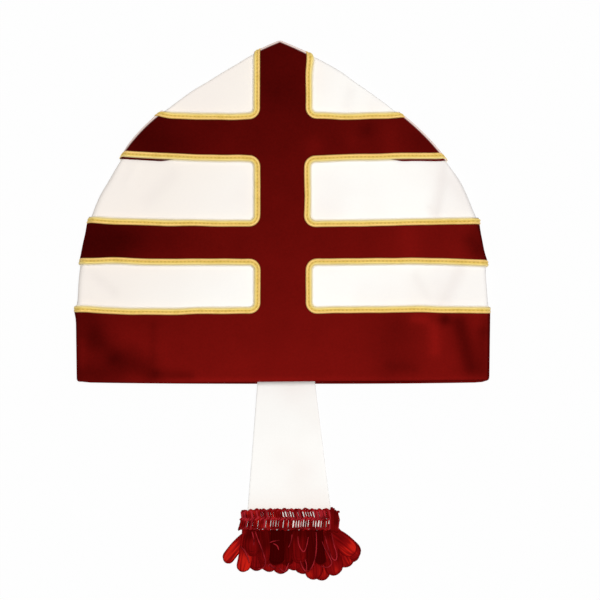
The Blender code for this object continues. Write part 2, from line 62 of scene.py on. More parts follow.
GABLE_BEND = (GABLE_RISE - TIP_SLOPE * SHOULDER_WIDTH / 2) / (SHOULDER_WIDTH / 2) ** 2
HORN_LEAN = 0.0018
CLEFT_HEIGHT = 0.1500
CLOTH_THICKNESS = 0.0015
SIDE_RADIUS = 0.0036
HORN_EDGE_RADIUS = 0.0018
EDGE_CHANGE = 0.0200
EDGE_REACH = 0.0030
FRONT_BOW = 0.0140
BOW_NARROWING = 1.5
BOW_FADE = 0.35
BOW_ROUNDING = 1.3
SIDES_PRESSED = 12
LAYER_GAP = 0.0003
VELVET_THICKNESS = 0.0012
BRAID_THICKNESS = 0.0015
BRAID_BASE = LAYER_GAP + VELVET_THICKNESS + LAYER_GAP
BACK_FACE = BRAID_BASE + BRAID_THICKNESS
SEAM = BACK_FACE + SIDE_RADIUS + LAYER_GAP / 2
FRONT_FACE = SEAM + LAYER_GAP / 2 + SIDE_RADIUS
HEM_ROLL = CLOTH_THICKNESS / 2 + LAYER_GAP
INSIDE = -CLOTH_THICKNESS - LAYER_GAP
BACK_HEM = HEM_ROLL + VELVET_THICKNESS
FRONT_HEM = BACK_HEM + 0.0022
HEM_SAG = {"left": 0.0017, "middle": 0.0011, "corner": 0.0014, "reach": 0.040}
HEM_SAG_START = {"left": 0.06, "corner": 0.144}
HEM_SAG_RUN = {"left": 0.19, "corner": 0.006}
HEM_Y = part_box("back_velvet")[1].y - TIP_HEIGHT - LAYER_GAP - VELVET_THICKNESS
TURN_STEPS = 5
TIP_STEPS = 6
DOUBLES = 1e-6
# How far apart a sheet's rows are, and how many columns of faces it has: front and back
FINE, PLAIN = (0.0022, 130), (0.0045, 60)
UNEVENNESS = {"rise": 0.00035, "per_metre": 26.0}
# Strokes on the flat pattern. A row holds a stroke's start, across and up, its end, its width
# and its strength: here, how far to the right the sides and the braids' ends have settled
BULGES = (
    (0.136, 0.148, 0.150, 0.124, 0.0130, 0.0020),
    (0.147, 0.1225, 0.147, 0.1225, 0.0055, 0.0034),
    (0.026, 0.2390, 0.041, 0.2290, 0.0090, 0.0019),
    (-0.036, 0.2320, -0.054, 0.2210, 0.0090, 0.0017),
    (-0.092, 0.2000, -0.092, 0.2000, 0.0060, -0.0012),
    (-0.120, 0.1630, -0.127, 0.1490, 0.0100, 0.0013),
    (-0.146, 0.1070, -0.148, 0.0950, 0.0090, 0.0006),
    (-0.147, 0.1185, -0.147, 0.1185, 0.0050, -0.0012),
    (-0.151, 0.0535, -0.151, 0.0535, 0.0050, -0.0012),
    (0.150, 0.0880, 0.150, 0.0880, 0.0050, 0.0013),
    (0.151, 0.0530, 0.151, 0.0040, 0.0090, 0.0009),
)
# Strokes along the front's creases, and how far they rise
CREASES = (
    (0.103, 0.162, 0.118, 0.151, 0.0030, 0.0006),
    (0.118, 0.158, 0.1125, 0.126, 0.0036, -0.0010),
    (0.108, 0.128, 0.112, 0.121, 0.0026, -0.0006),
    (0.124, 0.152, 0.116, 0.124, 0.0034, 0.0008),
    (0.124, 0.148, 0.138, 0.130, 0.0065, -0.0008),
    (0.050, 0.214, 0.047, 0.203, 0.0045, -0.0006),
    (-0.083, 0.152, -0.100, 0.134, 0.0065, -0.0006),
    (-0.108, 0.158, -0.114, 0.146, 0.0035, 0.0005),
    (0.129, 0.081, 0.117, 0.056, 0.0052, -0.0011),
    (0.097, 0.078, 0.106, 0.062, 0.0034, -0.0006),
    (0.120, 0.087, 0.101, 0.068, 0.0038, 0.0006),
    (-0.147, 0.083, -0.125, 0.066, 0.0045, -0.0007),
    (-0.138, 0.046, -0.100, 0.006, 0.0080, -0.0010),
    (0.130, 0.048, 0.138, 0.008, 0.0060, -0.0010),
    (0.111, 0.046, 0.113, 0.012, 0.0060, 0.0007),
)


def ease(value):
    value = min(max(value, 0.0), 1.0)
    return value * value * (3 - 2 * value)


def half_width(height):
    """Half the cloth's width: near-upright sides, rounded shoulders, gently curved gables."""
    if height > SHOULDER_HEIGHT:
        root = math.sqrt(TIP_SLOPE**2 + 4 * GABLE_BEND * (TIP_HEIGHT - height))
        return (root - TIP_SLOPE) / (2 * GABLE_BEND)
    widest = HEM_WIDTH / 2 + SIDE_SWELL
    if height <= SIDE_HEIGHT:
        return widest - SIDE_SWELL * (1 - height / SIDE_HEIGHT)
    shoulder = (1 - (SHOULDER_WIDTH / 2 / widest) ** FLANK_POWER) ** (1 / FLANK_POWER)
    rise = (SHOULDER_HEIGHT - SIDE_HEIGHT) / shoulder
    return widest * (1 - ((height - SIDE_HEIGHT) / rise) ** FLANK_POWER) ** (1 / FLANK_POWER)


def gable_height(across):
    """Height of the gable's edge this far from the tip's middle. It steepens evenly outwards."""
    return TIP_HEIGHT - TIP_SLOPE * across - GABLE_BEND * across**2


def edge_normal(height):
    """The way straight out of the edge, at its right side."""
    step = 0.0005
    slope = (half_width(height + step) - half_width(height - step)) / (2 * step)
    return Vector((1.0, -slope)).normalized()


def lean(height):
    """The horns stand a little to one side of the hem's middle."""
    return -HORN_LEAN * ease((height - CLEFT_HEIGHT) / (SHOULDER_HEIGHT - CLEFT_HEIGHT))


def edge_depth(point):
    """How far inside the outline a point of the flat pattern lies, and the way out there."""
    hand = 1 if point.x > lean(point.y) else -1
    normal = edge_normal(point.y)
    depth = (half_width(point.y) - abs(point.x - lean(point.y))) * normal.x
    return depth, Vector((hand * normal.x, normal.y))


def side_radius(height):
    share = ease((height - CLEFT_HEIGHT) / EDGE_CHANGE)
    return SIDE_RADIUS + (HORN_EDGE_RADIUS - SIDE_RADIUS) * share


def outline_row(height):
    return {"across": half_width(height), "height": height, "normal": edge_normal(height)}


def outline_rows(bottom, spacing):
    """Rows from the hem up the flanks and gables, and round the tip."""
    gable = math.atan(TIP_SLOPE)
    middle = TIP_HEIGHT - TIP_RADIUS / math.cos(gable)
    turn = middle + TIP_RADIUS * math.cos(gable)
    count = round((turn - bottom) / spacing)
    rows = [outline_row(bottom + (turn - bottom) * step / count) for step in range(count)]
    for step in range(TIP_STEPS + 1):
        angle = gable * (1 - step / TIP_STEPS)
        normal = Vector((math.sin(angle), math.cos(angle)))
        place = Vector((0, middle)) + TIP_RADIUS * normal
        rows.append({"across": place.x, "height": place.y, "normal": normal})
    return rows


def drawn(strokes, across, height):
    """What a table's strokes come to here. Each is full on its line, and gone at twice its width."""
    spot, total = Vector((across, height)), 0.0
    for left, low, right, high, width, strength in strokes:
        start, run = Vector((left, low)), Vector((right, high)) - Vector((left, low))
        along = (spot - start).dot(run) / max(run.length_squared, 1e-9)
        distance = (spot - start - run * min(max(along, 0.0), 1.0)).length
        total += strength * math.exp(-((distance / width) ** 2))
    return total


def relief(across, height):
    """How far the front's creases and its unevenness lift the cloth."""
    lift = UNEVENNESS["rise"] * noise.noise(Vector((across, height, 0)) * UNEVENNESS["per_metre"])
    return lift + drawn(CREASES, across, height)


def face_level(side, across, height):
    """Level of the cloth's outer face. The back is flat, and the front bows up."""
    if side == BACK:
        return BACK_FACE
    half = max(half_width(height), TIP_RADIUS)
    share = min(abs(across - lean(height)) / half, 1.0)
    bow = FRONT_BOW * (half / (HEM_WIDTH / 2)) ** BOW_NARROWING
    bow *= (1 - BOW_FADE * height / TIP_HEIGHT) * (1 - share**2) ** BOW_ROUNDING
    return FRONT_FACE + bow + relief(across, height) * ease((1 - share) * SIDES_PRESSED)


def hem_sag(side, across, height):
    """The hem bows down a little. At the left the front's hangs lower, and hides the back's."""
    sag = HEM_SAG["middle"] * (1 - min(1.0, abs(across) / (HEM_WIDTH / 2)) ** 3)
    if side == FRONT:
        sag += HEM_SAG["left"] * ease((HEM_SAG_START["left"] - across) / HEM_SAG_RUN["left"])
    else:
        sag -= HEM_SAG["corner"] * ease((abs(across) - HEM_SAG_START["corner"]) / HEM_SAG_RUN["corner"])
    return sag * ease(1 - height / HEM_SAG["reach"])


def settled(side, across, height, level):
    """A point of the layers as they have settled, with their bulges and the hem's bow."""
    place = Vector((across + drawn(BULGES, across, height), height + HEM_Y, level))
    place.y -= hem_sag(side, across, height)
    return place


def on_cloth(side, row, column, offset):
    """A point of the layer that lies this far outside the white cloth's face."""
    share, angle = column
    radius = side_radius(row["height"])
    inward = radius - (radius + offset) * math.cos(angle)
    height = row["height"] - row["normal"].y * inward
    across = lean(height) + (row["across"] - row["normal"].x * inward) * share
    drop = radius - (radius + offset) * math.sin(angle)
    level = face_level(side, across, height) - side * drop
    return settled(side, across, height, level)


def laid_on(side, rows, places, offset):
    """All these rows' points of one layer, each at these columns."""
    return [[on_cloth(side, row, column, offset) for column in places] for row in rows]


def columns(count):
    """Columns from edge to edge: those of the turned edges, then those of the face."""
    angles = [math.pi / 2 * step / TURN_STEPS for step in range(TURN_STEPS)]
    left = [(-1.0, angle) for angle in angles]
    face = [(2 * step / count - 1, math.pi / 2) for step in range(count + 1)]
    right = [(1.0, angle) for angle in reversed(angles)]
    return left + face + right


def grid_mesh(points):
    """An open sheet of quads whose corners lie at these rows of points."""
    bm = bmesh.new()
    bmesh.ops.create_grid(bm, x_segments=len(points[0]) - 1, y_segments=len(points) - 1, size=1)
    for vert, point in zip(bm.verts, [point for row in points for point in row]):
        vert.co = point
    return bm


def face_outwards(bm, side):
    """Merges the tip's doubles and turns the sheet to face away from the mitre's middle."""
    bmesh.ops.remove_doubles(bm, verts=bm.verts, dist=DOUBLES)
    bmesh.ops.recalc_face_normals(bm, faces=bm.faces)
    outermost = max(bm.faces, key=lambda face: face.calc_center_median().z * side)
    if outermost.normal.z * side < 0:
        bmesh.ops.reverse_faces(bm, faces=bm.faces)


def finished_mesh(name, bm):
    mesh = bpy.data.meshes.new(name)
    bm.to_mesh(mesh)
    bm.free()
    return mesh


def new_object(name, data):
    made = bpy.data.objects.new(name, data)
    bpy.context.scene.collection.objects.link(made)
    return made


def add_piece(name, bm, material, slot, *nodes):
    """Makes a mesh a piece that rides on the mitre and stands for its CAD node."""
    mesh = finished_mesh(name, bm)
    mesh.materials.append(material)
    mesh.shade_smooth()
    piece = new_object(name, mesh)
    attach(piece, "root")
    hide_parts(*nodes)
    return piece


def mark(piece, name, worth, *settings):
    """Marks each point of a piece with what this function gives there, for its dye to read."""
    marks = []
    for vert in piece.data.vertices:
        marks.append(worth(vert.co.x, vert.co.y - HEM_Y, *settings))
    piece.data.attributes.new(name, "FLOAT", "POINT").data.foreach_set("value", marks)


def edge_mark(across, height, offset):
    """From 0 inside to 1 on the outermost line of the turned sides, this far outside the cloth."""
    depth = edge_depth(Vector((across, height)))[0]
    return min(1.0, max(0.0, 1 - (depth + offset) / EDGE_REACH))


def crease_mark(across, height):
    """How deep the hollows of the creases are, in millimetres. Less light reaches them."""
    return drawn([crease for crease in CREASES if crease[-1] < 0], across, height) / -0.001


def add_thickness(piece, thickness, offset):
    solidify = piece.modifiers.new("Thickness", "SOLIDIFY")
    solidify.thickness = thickness
    solidify.offset = offset


class Dye:
    """A value in a material's nodes. Arithmetic on it adds the Math nodes."""

    def __init__(self, tree, socket=None):
        self.tree, self.socket = tree, socket

    def feed(self, made, sockets):
        for name, value in sockets.items():
            if isinstance(value, Dye):
                self.tree.links.new(value.socket, made.inputs[name])
            else:
                made.inputs[name].default_value = value

    def node(self, kind, settings, sockets, output=0):
        made = self.tree.nodes.new(kind)
        for name, value in settings.items():
            setattr(made, name, value)
        self.feed(made, sockets)
        return Dye(self.tree, made.outputs[output])

    def maths(self, operation, *values):
        return self.node("ShaderNodeMath", {"operation": operation}, dict(enumerate(values)))

    def __add__(self, other):
        return self.maths("ADD", self, other)

    def __sub__(self, other):
        return self.maths("SUBTRACT", self, other)

    def __rsub__(self, other):
        return self.maths("SUBTRACT", other, self)

    def __mul__(self, other):
        return self.maths("MULTIPLY", self, other)

    def __pow__(self, other):
        return self.maths("POWER", self, other)

    __radd__, __rmul__ = __add__, __mul__

    def wave(self, length):
        """Rises and falls between 0 and 1 once in this length."""
        return 0.5 + 0.5 * self.maths("SINE", self * (2 * math.pi / length))

    def ramp(self, low, high):
        """0 below low, 1 above high, and smooth between."""
        sockets = {"Value": self, "From Min": low, "From Max": high}
        return self.node("ShaderNodeMapRange", {"interpolation_type": "SMOOTHSTEP"}, sockets)

    def mottle(self, scale, detail=2.0):
        """Noise between 0 and 1 over these coordinates."""
        sockets = {"Vector": self, "Scale": scale, "Detail": detail}
        return self.node("ShaderNodeTexNoise", {}, sockets)

    def part(self, axis):
        """One coordinate of a place: 0 across, 1 along, 2 up."""
        return self.node("ShaderNodeSeparateXYZ", {}, {"Vector": self}, axis)

    def mixed(self, *layers):
        """This colour, with a share of each other colour over it in turn."""
        colour = self
        for share, other in layers:
            sockets = {0: share, 6: colour, 7: (*other, 1.0)}
            colour = self.node("ShaderNodeMix", {"data_type": "RGBA"}, sockets, 2)
        return colour

    def colour(self, red, green, blue):
        made = self.node("ShaderNodeRGB", {}, {})
        made.socket.default_value = (red, green, blue, 1.0)
        return made

    def place(self):
        return self.node("ShaderNodeTexCoord", {}, {}, "Object")

    def uv(self):
        return self.node("ShaderNodeUVMap", {"uv_map": "UVMap"}, {})

    def attribute(self, name):
        return self.node("ShaderNodeAttribute", {"attribute_name": name}, {}, "Fac")

    def bump(self, height, distance, strength):
        sockets = {"Height": height, "Distance": distance, "Strength": strength}
        return self.node("ShaderNodeBump", {}, sockets)


def new_material(name, fixed):
    """A material, its nodes' maker and its shader, whose fixed sockets are set."""
    material = bpy.data.materials.new(name)
    material.use_nodes = True
    shader = material.node_tree.nodes["Principled BSDF"]
    dye = Dye(material.node_tree)
    dye.feed(shader, fixed)
    return material, dye, shader


WEAVE_PITCH = 0.0007


def make_white_cotton():
    """Ivory plain weave: warmer at the right and at its foot, with painted shade up left, in its creases
    and on its outermost turned edges.
    """
    fixed = {"Roughness": 0.9, "Specular IOR Level": 0.15}
    material, dye, shader = new_material("white_cotton", fixed)
    place = dye.place()
    across, along = place.part(0), place.part(1)
    weave = across.wave(WEAVE_PITCH) * along.wave(WEAVE_PITCH)
    ivory = dye.colour(0.835, 0.822, 0.795).mixed(
        # Painted shade: darker and warmer towards the upper left
        ((along - across * 1.6).ramp(0.02, 0.26), (0.790, 0.735, 0.680)),
        (place.mottle(16.0).ramp(0.40, 0.75) * 0.5, (0.775, 0.715, 0.675)),
        (across.ramp(0.102, 0.116) * 0.4, (0.765, 0.715, 0.690)),
        (along.ramp(-0.125, -0.160) * 0.9, (0.770, 0.705, 0.655)),
        # Painted shade in the hollows of the creases
        (dye.attribute("crease") * 0.36, (0.670, 0.615, 0.590)),
        (place.mottle(800.0) * 0.10, (0.600, 0.560, 0.520)),
        # Painted shade: a grey line on the outermost turned edges
        (dye.attribute("edge").ramp(0.70, 1.0) * 0.15, (0.430, 0.420, 0.440)),
    )
    dye.feed(shader, {"Base Color": ivory, "Normal": dye.bump(weave, 0.00010, 0.35)})
    return material


white_cotton = make_white_cotton()


def make_horn(name, node, side, bottom, spacing, count):
    """A whole horn, with its sides turned under, on rows this far apart of so many faces."""
    bm = grid_mesh(laid_on(side, outline_rows(bottom, spacing), columns(count), 0.0))
    face_outwards(bm, side)
    horn = add_piece(name, bm, white_cotton, "white_cloth", node)
    mark(horn, "edge", edge_mark, 0.0)
    mark(horn, "crease", crease_mark)
    add_thickness(horn, CLOTH_THICKNESS, -1)
    return horn


front_horn = make_horn("front_horn", "front_panel", FRONT, FRONT_HEM, *FINE)
back_horn = make_horn("back_horn", "back_panel", BACK, BACK_HEM, *PLAIN)

# The crown's fold is one plain ivory cotton, folded down into the cleft between the horns.
# A leaf of it lines the inside of each horn's upper part, sewn in along the horn's edge.
GUSSET_THICKNESS = 0.0010
GUSSET_TOP = 0.85
GUSSET_SPACING = 0.004
GUSSET_COLUMNS = 40
FOLD_STEPS = 8


def make_crown_fold():
    top = SHOULDER_HEIGHT + GABLE_RISE * GUSSET_TOP
    count = round((top - CLEFT_HEIGHT) / GUSSET_SPACING)
    heights = [CLEFT_HEIGHT + (top - CLEFT_HEIGHT) * step / count for step in range(count + 1)]
    rows = [outline_row(height) for height in heights]
    places = [(2 * step / GUSSET_COLUMNS - 1, math.pi / 2) for step in range(GUSSET_COLUMNS + 1)]
    front, back = laid_on(FRONT, rows, places, INSIDE), laid_on(BACK, rows, places, INSIDE)
    fold = []
    for step in range(1, FOLD_STEPS):
        angle = math.pi * step / FOLD_STEPS
        row = []
        for above, below in zip(front[0], back[0]):
            half = (above.z - below.z) / 2
            turn = Vector((0, -half * math.sin(angle), half * math.cos(angle)))
            row.append((above + below) / 2 + turn)
        fold.append(row)
    bm = grid_mesh(front[::-1] + fold + back)
    face_outwards(bm, FRONT)
    crown_fold = add_piece("crown_fold", bm, white_cotton, "white_cloth", "crown_gusset")
    add_thickness(crown_fold, GUSSET_THICKNESS, -1)
    return crown_fold


crown_fold = make_crown_fold()

# The overlays are one velvet each, dark red with a short pile, cut with six windows and laid
# over a horn. The velvet turns over the horn's sides, and up inside it at the hem. Where the
# pile has been brushed, it shows in soft strokes that are darker or lighter than the rest.
UPRIGHT_WIDTH = 0.0440
HEM_BAND = 0.0552
LOWER_WINDOW = 0.0298
MIDDLE_BAR = 0.0347
MIDDLE_WINDOW = 0.0416
TOP_BAR = 0.0371
WINDOW_CORNER = 0.0033
SIDE_CLIMB = 0.0064
HEM_TURN = 0.0080
TURN_ROWS = 4
ROLL_STEPS = 8
VELVET_SHARP = 50
# How far outside a window's line the braid begins, and the velvet's raw edge under its lap
RAW_EDGE = 0.0005
TUCKED_EDGE = RAW_EDGE * 0.8
LINE_STEP = 0.0011
CORNER_STEPS = 7
CUT_MARGIN = 0.02
LOWER_HEAD = HEM_BAND + LOWER_WINDOW
MIDDLE_SILL = LOWER_HEAD + MIDDLE_BAR
MIDDLE_HEAD = MIDDLE_SILL + MIDDLE_WINDOW
TOP_SILL = MIDDLE_HEAD + TOP_BAR
WINDOWS = {
    "lower": {"sill": HEM_BAND, "sill_climb": 0.0, "head": LOWER_HEAD, "head_climb": 0.0},
    "middle": {"sill": MIDDLE_SILL, "sill_climb": 0.4, "head": MIDDLE_HEAD, "head_climb": 1.0},
    "top": {"sill": TOP_SILL, "sill_climb": 0.65, "head": None, "head_climb": 0.0},
}
# How far each window's upright edge is sewn in from the pattern, left and right
SEWN_IN = {"lower": {-1: 0.0010, 1: 0.0}, "middle": {-1: 0.0009, 1: 0.0010}, "top": {-1: 0.0006, 1: 0.0}}
# On the outer part of a head the velvet's raw edge hangs this much lower, and peeps out
PEEP = {"middle": 0.0016}
PEEP_START, PEEP_RUN = 0.078, 0.012
# Strokes where the sewing pulled a sill or head up or down
PULLS = (
    (-0.078, TOP_SILL, -0.040, TOP_SILL, 0.016, -0.0012),
    (0.046, TOP_SILL, 0.074, TOP_SILL, 0.014, -0.0011),
    (-0.096, TOP_SILL, -0.096, TOP_SILL, 0.008, 0.0022),
    (0.048, MIDDLE_HEAD, 0.048, MIDDLE_HEAD, 0.014, 0.0006),
    (-0.032, MIDDLE_HEAD, -0.032, MIDDLE_HEAD, 0.010, 0.0004),
    (0.118, MIDDLE_HEAD, 0.118, MIDDLE_HEAD, 0.016, -0.0015),
    (-0.118, MIDDLE_SILL, 0.150, MIDDLE_SILL, 0.014, -0.0008),
    (-0.115, LOWER_HEAD, 0.115, LOWER_HEAD, 0.024, 0.0009),
    (-0.150, LOWER_HEAD, -0.128, LOWER_HEAD, 0.018, 0.0012),
    (0.090, LOWER_HEAD, 0.090, LOWER_HEAD, 0.030, 0.0007),
    (-0.152, HEM_BAND, -0.146, HEM_BAND, 0.013, 0.0012),
    (-0.108, HEM_BAND, -0.078, HEM_BAND, 0.016, -0.0007),
    (0.040, HEM_BAND, 0.150, HEM_BAND, 0.014, 0.0005),
    (0.100, HEM_BAND, 0.100, HEM_BAND, 0.010, 0.0006),
)
# How the velvet's tone runs: darker from the hem upwards, and brighter to the right, which is painted
# light from the right
PILE = {"hem": 0.86, "fade": 1.85, "right": 0.8, "right_rise": 0.09}
# Painted light at the hem: a highlight on the front's rolled hem from start rightwards, and shade on the
# back's hem strip under it, over the hem's lowest top, fading over depth
HEM_PAINTED_LIGHT = {"front": 0.12, "start": -0.10, "run": 0.03, "back": -0.10, "top": 0.0050, "depth": 0.0030}
# Strokes where the pile was brushed darker or brighter
BRUSHED = (
    (-0.155, 0.104, -0.135, 0.104, 0.026, -0.30),
    (-0.155, 0.055, -0.140, 0.000, 0.022, -0.19),
    (-0.115, 0.104, -0.085, 0.104, 0.014, -0.10),
    (-0.140, 0.052, -0.136, 0.030, 0.0072, -0.08),
    (-0.137, 0.034, -0.125, 0.020, 0.0085, -0.17),
    (-0.121, 0.017, -0.097, 0.006, 0.0072, -0.25),
    (-0.110, 0.021, -0.098, 0.014, 0.0070, -0.13),
    (-0.092, 0.006, -0.068, 0.005, 0.0040, -0.18),
    (-0.148, 0.007, -0.120, 0.006, 0.0080, -0.18),
    (-0.147, 0.030, -0.147, 0.012, 0.0028, 0.08),
    (-0.126, 0.048, -0.096, 0.046, 0.0055, -0.03),
    (-0.095, 0.042, -0.095, 0.018, 0.0030, -0.08),
    (0.083, 0.040, 0.083, 0.016, 0.0180, -0.14),
    (0.078, 0.012, 0.097, 0.011, 0.0040, -0.08),
    (0.097, 0.047, 0.104, 0.046, 0.0040, 0.20),
    (0.111, 0.040, 0.112, 0.024, 0.0048, 0.19),
    (0.119, 0.0465, 0.119, 0.0465, 0.0045, -0.38),
    (0.130, 0.044, 0.138, 0.011, 0.0062, -0.34),
    (0.147, 0.036, 0.147, 0.008, 0.0055, -0.20),
    (0.150, 0.047, 0.149, 0.038, 0.0045, -0.13),
    (0.138, 0.104, 0.142, 0.098, 0.0060, -0.16),
    (-0.004, 0.214, 0.008, 0.208, 0.0130, -0.06),
    (-0.108, 0.186, -0.090, 0.170, 0.0200, -0.14),
    (0.024, 0.174, 0.024, 0.174, 0.0065, 0.11),
    (0.050, 0.177, 0.050, 0.177, 0.0055, 0.06),
    (0.062, 0.185, 0.062, 0.185, 0.0060, -0.12),
    (0.078, 0.187, 0.079, 0.170, 0.0060, 0.07),
    (0.100, 0.176, 0.118, 0.172, 0.0110, -0.12),
    (0.093, 0.110, 0.093, 0.096, 0.0090, 0.10),
    (0.150, 0.112, 0.150, 0.096, 0.0110, -0.26),
)


def line_height(line, climb, across, hand):
    """Height of a sill or head this far out to one side, as it was cut and sewn."""
    pulled = drawn(PULLS, hand * across, line)
    return line + climb * SIDE_CLIMB * (across / (HEM_WIDTH / 2)) ** 2 + pulled


def over_edge(radius):
    """How much longer the cloth's pattern is than its outline, where it turns to the seam."""
    return (radius + BRAID_BASE) * math.pi / 2 - radius


def between(start, end, spacing):
    """Even places from start to end, no further apart than this."""
    count = max(1, math.ceil(abs(end - start) / spacing))
    return [start + (end - start) * step / count for step in range(count + 1)]


def line_path(line, climb, hand, inner, margin, peep=0.0):
    """Points along a sill or head, from the seam over the side to the inner corner."""
    # Its height at the side: first as if the hat were as wide there as its hem, then closer
    height = line_height(line, climb, HEM_WIDTH / 2, hand)
    height = line_height(line, climb, half_width(height), hand)
    reach = half_width(height) + hand * lean(height)
    end = reach + over_edge(side_radius(height)) / edge_normal(height).x
    path = []
    for place in between(end, inner, LINE_STEP):
        shift = margin - peep * ease((place - PEEP_START) / PEEP_RUN)
        path.append(Vector((place, line_height(line, climb, place, hand) + shift)))
    return path


def corner_path(middle, radius, first, last):
    """Points on a round corner between two angles, in degrees, without its ends."""
    points = []
    for step in range(1, CORNER_STEPS):
        angle = math.radians(first + (last - first) * step / CORNER_STEPS)
        points.append(middle + radius * Vector((math.cos(angle), math.sin(angle))))
    return points


def window_path(name, hand, sill_margin, head_margin, peep=0.0):
    """Flat path along a window's edge, this far outside it: side, corner, upright, and on."""
    window = WINDOWS[name]
    inner = UPRIGHT_WIDTH / 2 - SEWN_IN[name][hand] + WINDOW_CORNER
    path = line_path(window["sill"], window["sill_climb"], hand, inner, -sill_margin)
    radius = WINDOW_CORNER + sill_margin
    low = path[-1].y + radius
    path += corner_path(Vector((inner, low)), radius, 270, 180)
    upright = inner - radius
    if window["head"] is None:
        edge = gable_height(upright - hand * lean(TIP_HEIGHT))
        top = edge + over_edge(side_radius(edge)) / edge_normal(edge).y
        path += [Vector((upright, place)) for place in between(low, top, LINE_STEP)]
    else:
        head = line_path(window["head"], window["head_climb"], hand, inner, head_margin, peep)
        radius = WINDOW_CORNER + head_margin
        high = head[-1].y - radius
        path += [Vector((upright, place)) for place in between(low, high, LINE_STEP)]
        path += corner_path(Vector((inner, high)), radius, 180, 90)
        path += reversed(head)
    return [Vector((hand * point.x, point.y)) for point in path]


def make_window_cutters():
    """Upright blocks of the windows' outlines, running out past the sides."""
    bm = bmesh.new()
    beyond, summit = HEM_WIDTH / 2 + CUT_MARGIN, TIP_HEIGHT + CUT_MARGIN
    for name, window in WINDOWS.items():
        for hand in (-1, 1):
            path = window_path(name, hand, TUCKED_EDGE, TUCKED_EDGE, PEEP.get(name, 0.0))
            corners = [Vector((hand * beyond, path[-1].y)), Vector((hand * beyond, path[0].y))]
            if window["head"] is None:
                corners[0] = Vector((hand * beyond, summit))
                corners.insert(0, Vector((path[-1].x, summit)))
            ring = [Vector((point.x, point.y + HEM_Y, -CUT_MARGIN)) for point in path + corners]
            face = bm.faces.new([bm.verts.new(point) for point in ring])
            made = bmesh.ops.extrude_face_region(bm, geom=[face])["geom"]
            raised = [item for item in made if isinstance(item, bmesh.types.BMVert)]
            bmesh.ops.translate(bm, verts=raised, vec=(0, 0, 4 * CUT_MARGIN))
    bmesh.ops.recalc_face_normals(bm, faces=bm.faces)
    return new_object("window_cutters", finished_mesh("window_cutters", bm))


def hem_rows(side, bottom, all_columns):
    """Rows of the hem's turn: back up inside the cloth's edge, then round its end."""
    heights = [bottom + HEM_TURN * (1 - step / TURN_ROWS) for step in range(TURN_ROWS + 1)]
    rows = laid_on(side, [outline_row(height) for height in heights], all_columns, INSIDE)
    row = outline_row(bottom)
    for step in range(1, ROLL_STEPS):
        angle = math.pi * (1 - step / ROLL_STEPS)
        depth = HEM_ROLL * math.cos(angle) - CLOTH_THICKNESS / 2
        drop = Vector((0, HEM_ROLL * math.sin(angle), 0))
        rows.append([on_cloth(side, row, column, depth) - drop for column in all_columns])
    return rows


def pile_tone(across, height, side):
    """Tone of the pile, from 0 where it is darkest to 1 where it is brightest. It holds painted light
    from the right, a painted highlight on the front's hem roll and painted shade on the back's hem
    strip.
    """
    tone = PILE["hem"] - PILE["fade"] * height
    # Painted light from the right
    tone += PILE["right"] * across * ease(height / PILE["right_rise"])
    tone += drawn(BRUSHED, across, height)
    # Painted shade on the back's hem strip, and a painted highlight on the front's hem roll
    fold = HEM_PAINTED_LIGHT["back"]
    if side == FRONT:
        fold = HEM_PAINTED_LIGHT["front"] * ease((across - HEM_PAINTED_LIGHT["start"]) / HEM_PAINTED_LIGHT["run"])
    return tone + fold * ease((HEM_PAINTED_LIGHT["top"] - height) / HEM_PAINTED_LIGHT["depth"])


def make_red_velvet():
    """Short pile whose colour goes with its brushing. A painted sheen pales the front horn's turned
    edges, and painted shade darkens the turned edges below the horns.
    """
    sheen = {"Sheen Weight": 0.15, "Sheen Roughness": 0.4, "Sheen Tint": (1.0, 0.03, 0.03, 1.0)}
    fixed = {"Roughness": 1.0, "Specular IOR Level": 0.0, **sheen}
    material, dye, shader = new_material("red_velvet", fixed)
    place = dye.place()
    tone = dye.attribute("pile") + (place.mottle(45.0, 3.0) - 0.5) * 0.14
    tone = tone + (place.mottle(700.0) - 0.5) * 0.18
    edge, horn = dye.attribute("edge"), place.part(1).ramp(0.085, 0.105)
    # Where the painted sheen falls: the front's turned edges on the horns
    rim = horn * place.part(2).ramp(SEAM + 0.0022, SEAM + 0.0034)
    red = dye.colour(0.0, 0.0, 0.0).mixed(
        ((0.157 + 0.353 * tone) ** 2.2, (0.83, 0.0230, 0.0170)),
        # Painted shade: near black along the turned edges below the horns
        (edge.ramp(0.45, 1.0) * (1 - horn) * 0.6, (0.010, 0.0005, 0.0005)),
        # Painted sheen: pale pink along the horns' turned edges
        (edge.ramp(0.40, 0.85) * rim, (0.86, 0.70, 0.64)),
    )
    pile = place.mottle(2600.0, 1.0)
    dye.feed(shader, {"Base Color": red, "Normal": dye.bump(pile, 0.0003, 0.25)})
    return material


red_velvet = make_red_velvet()
window_cutters = make_window_cutters()


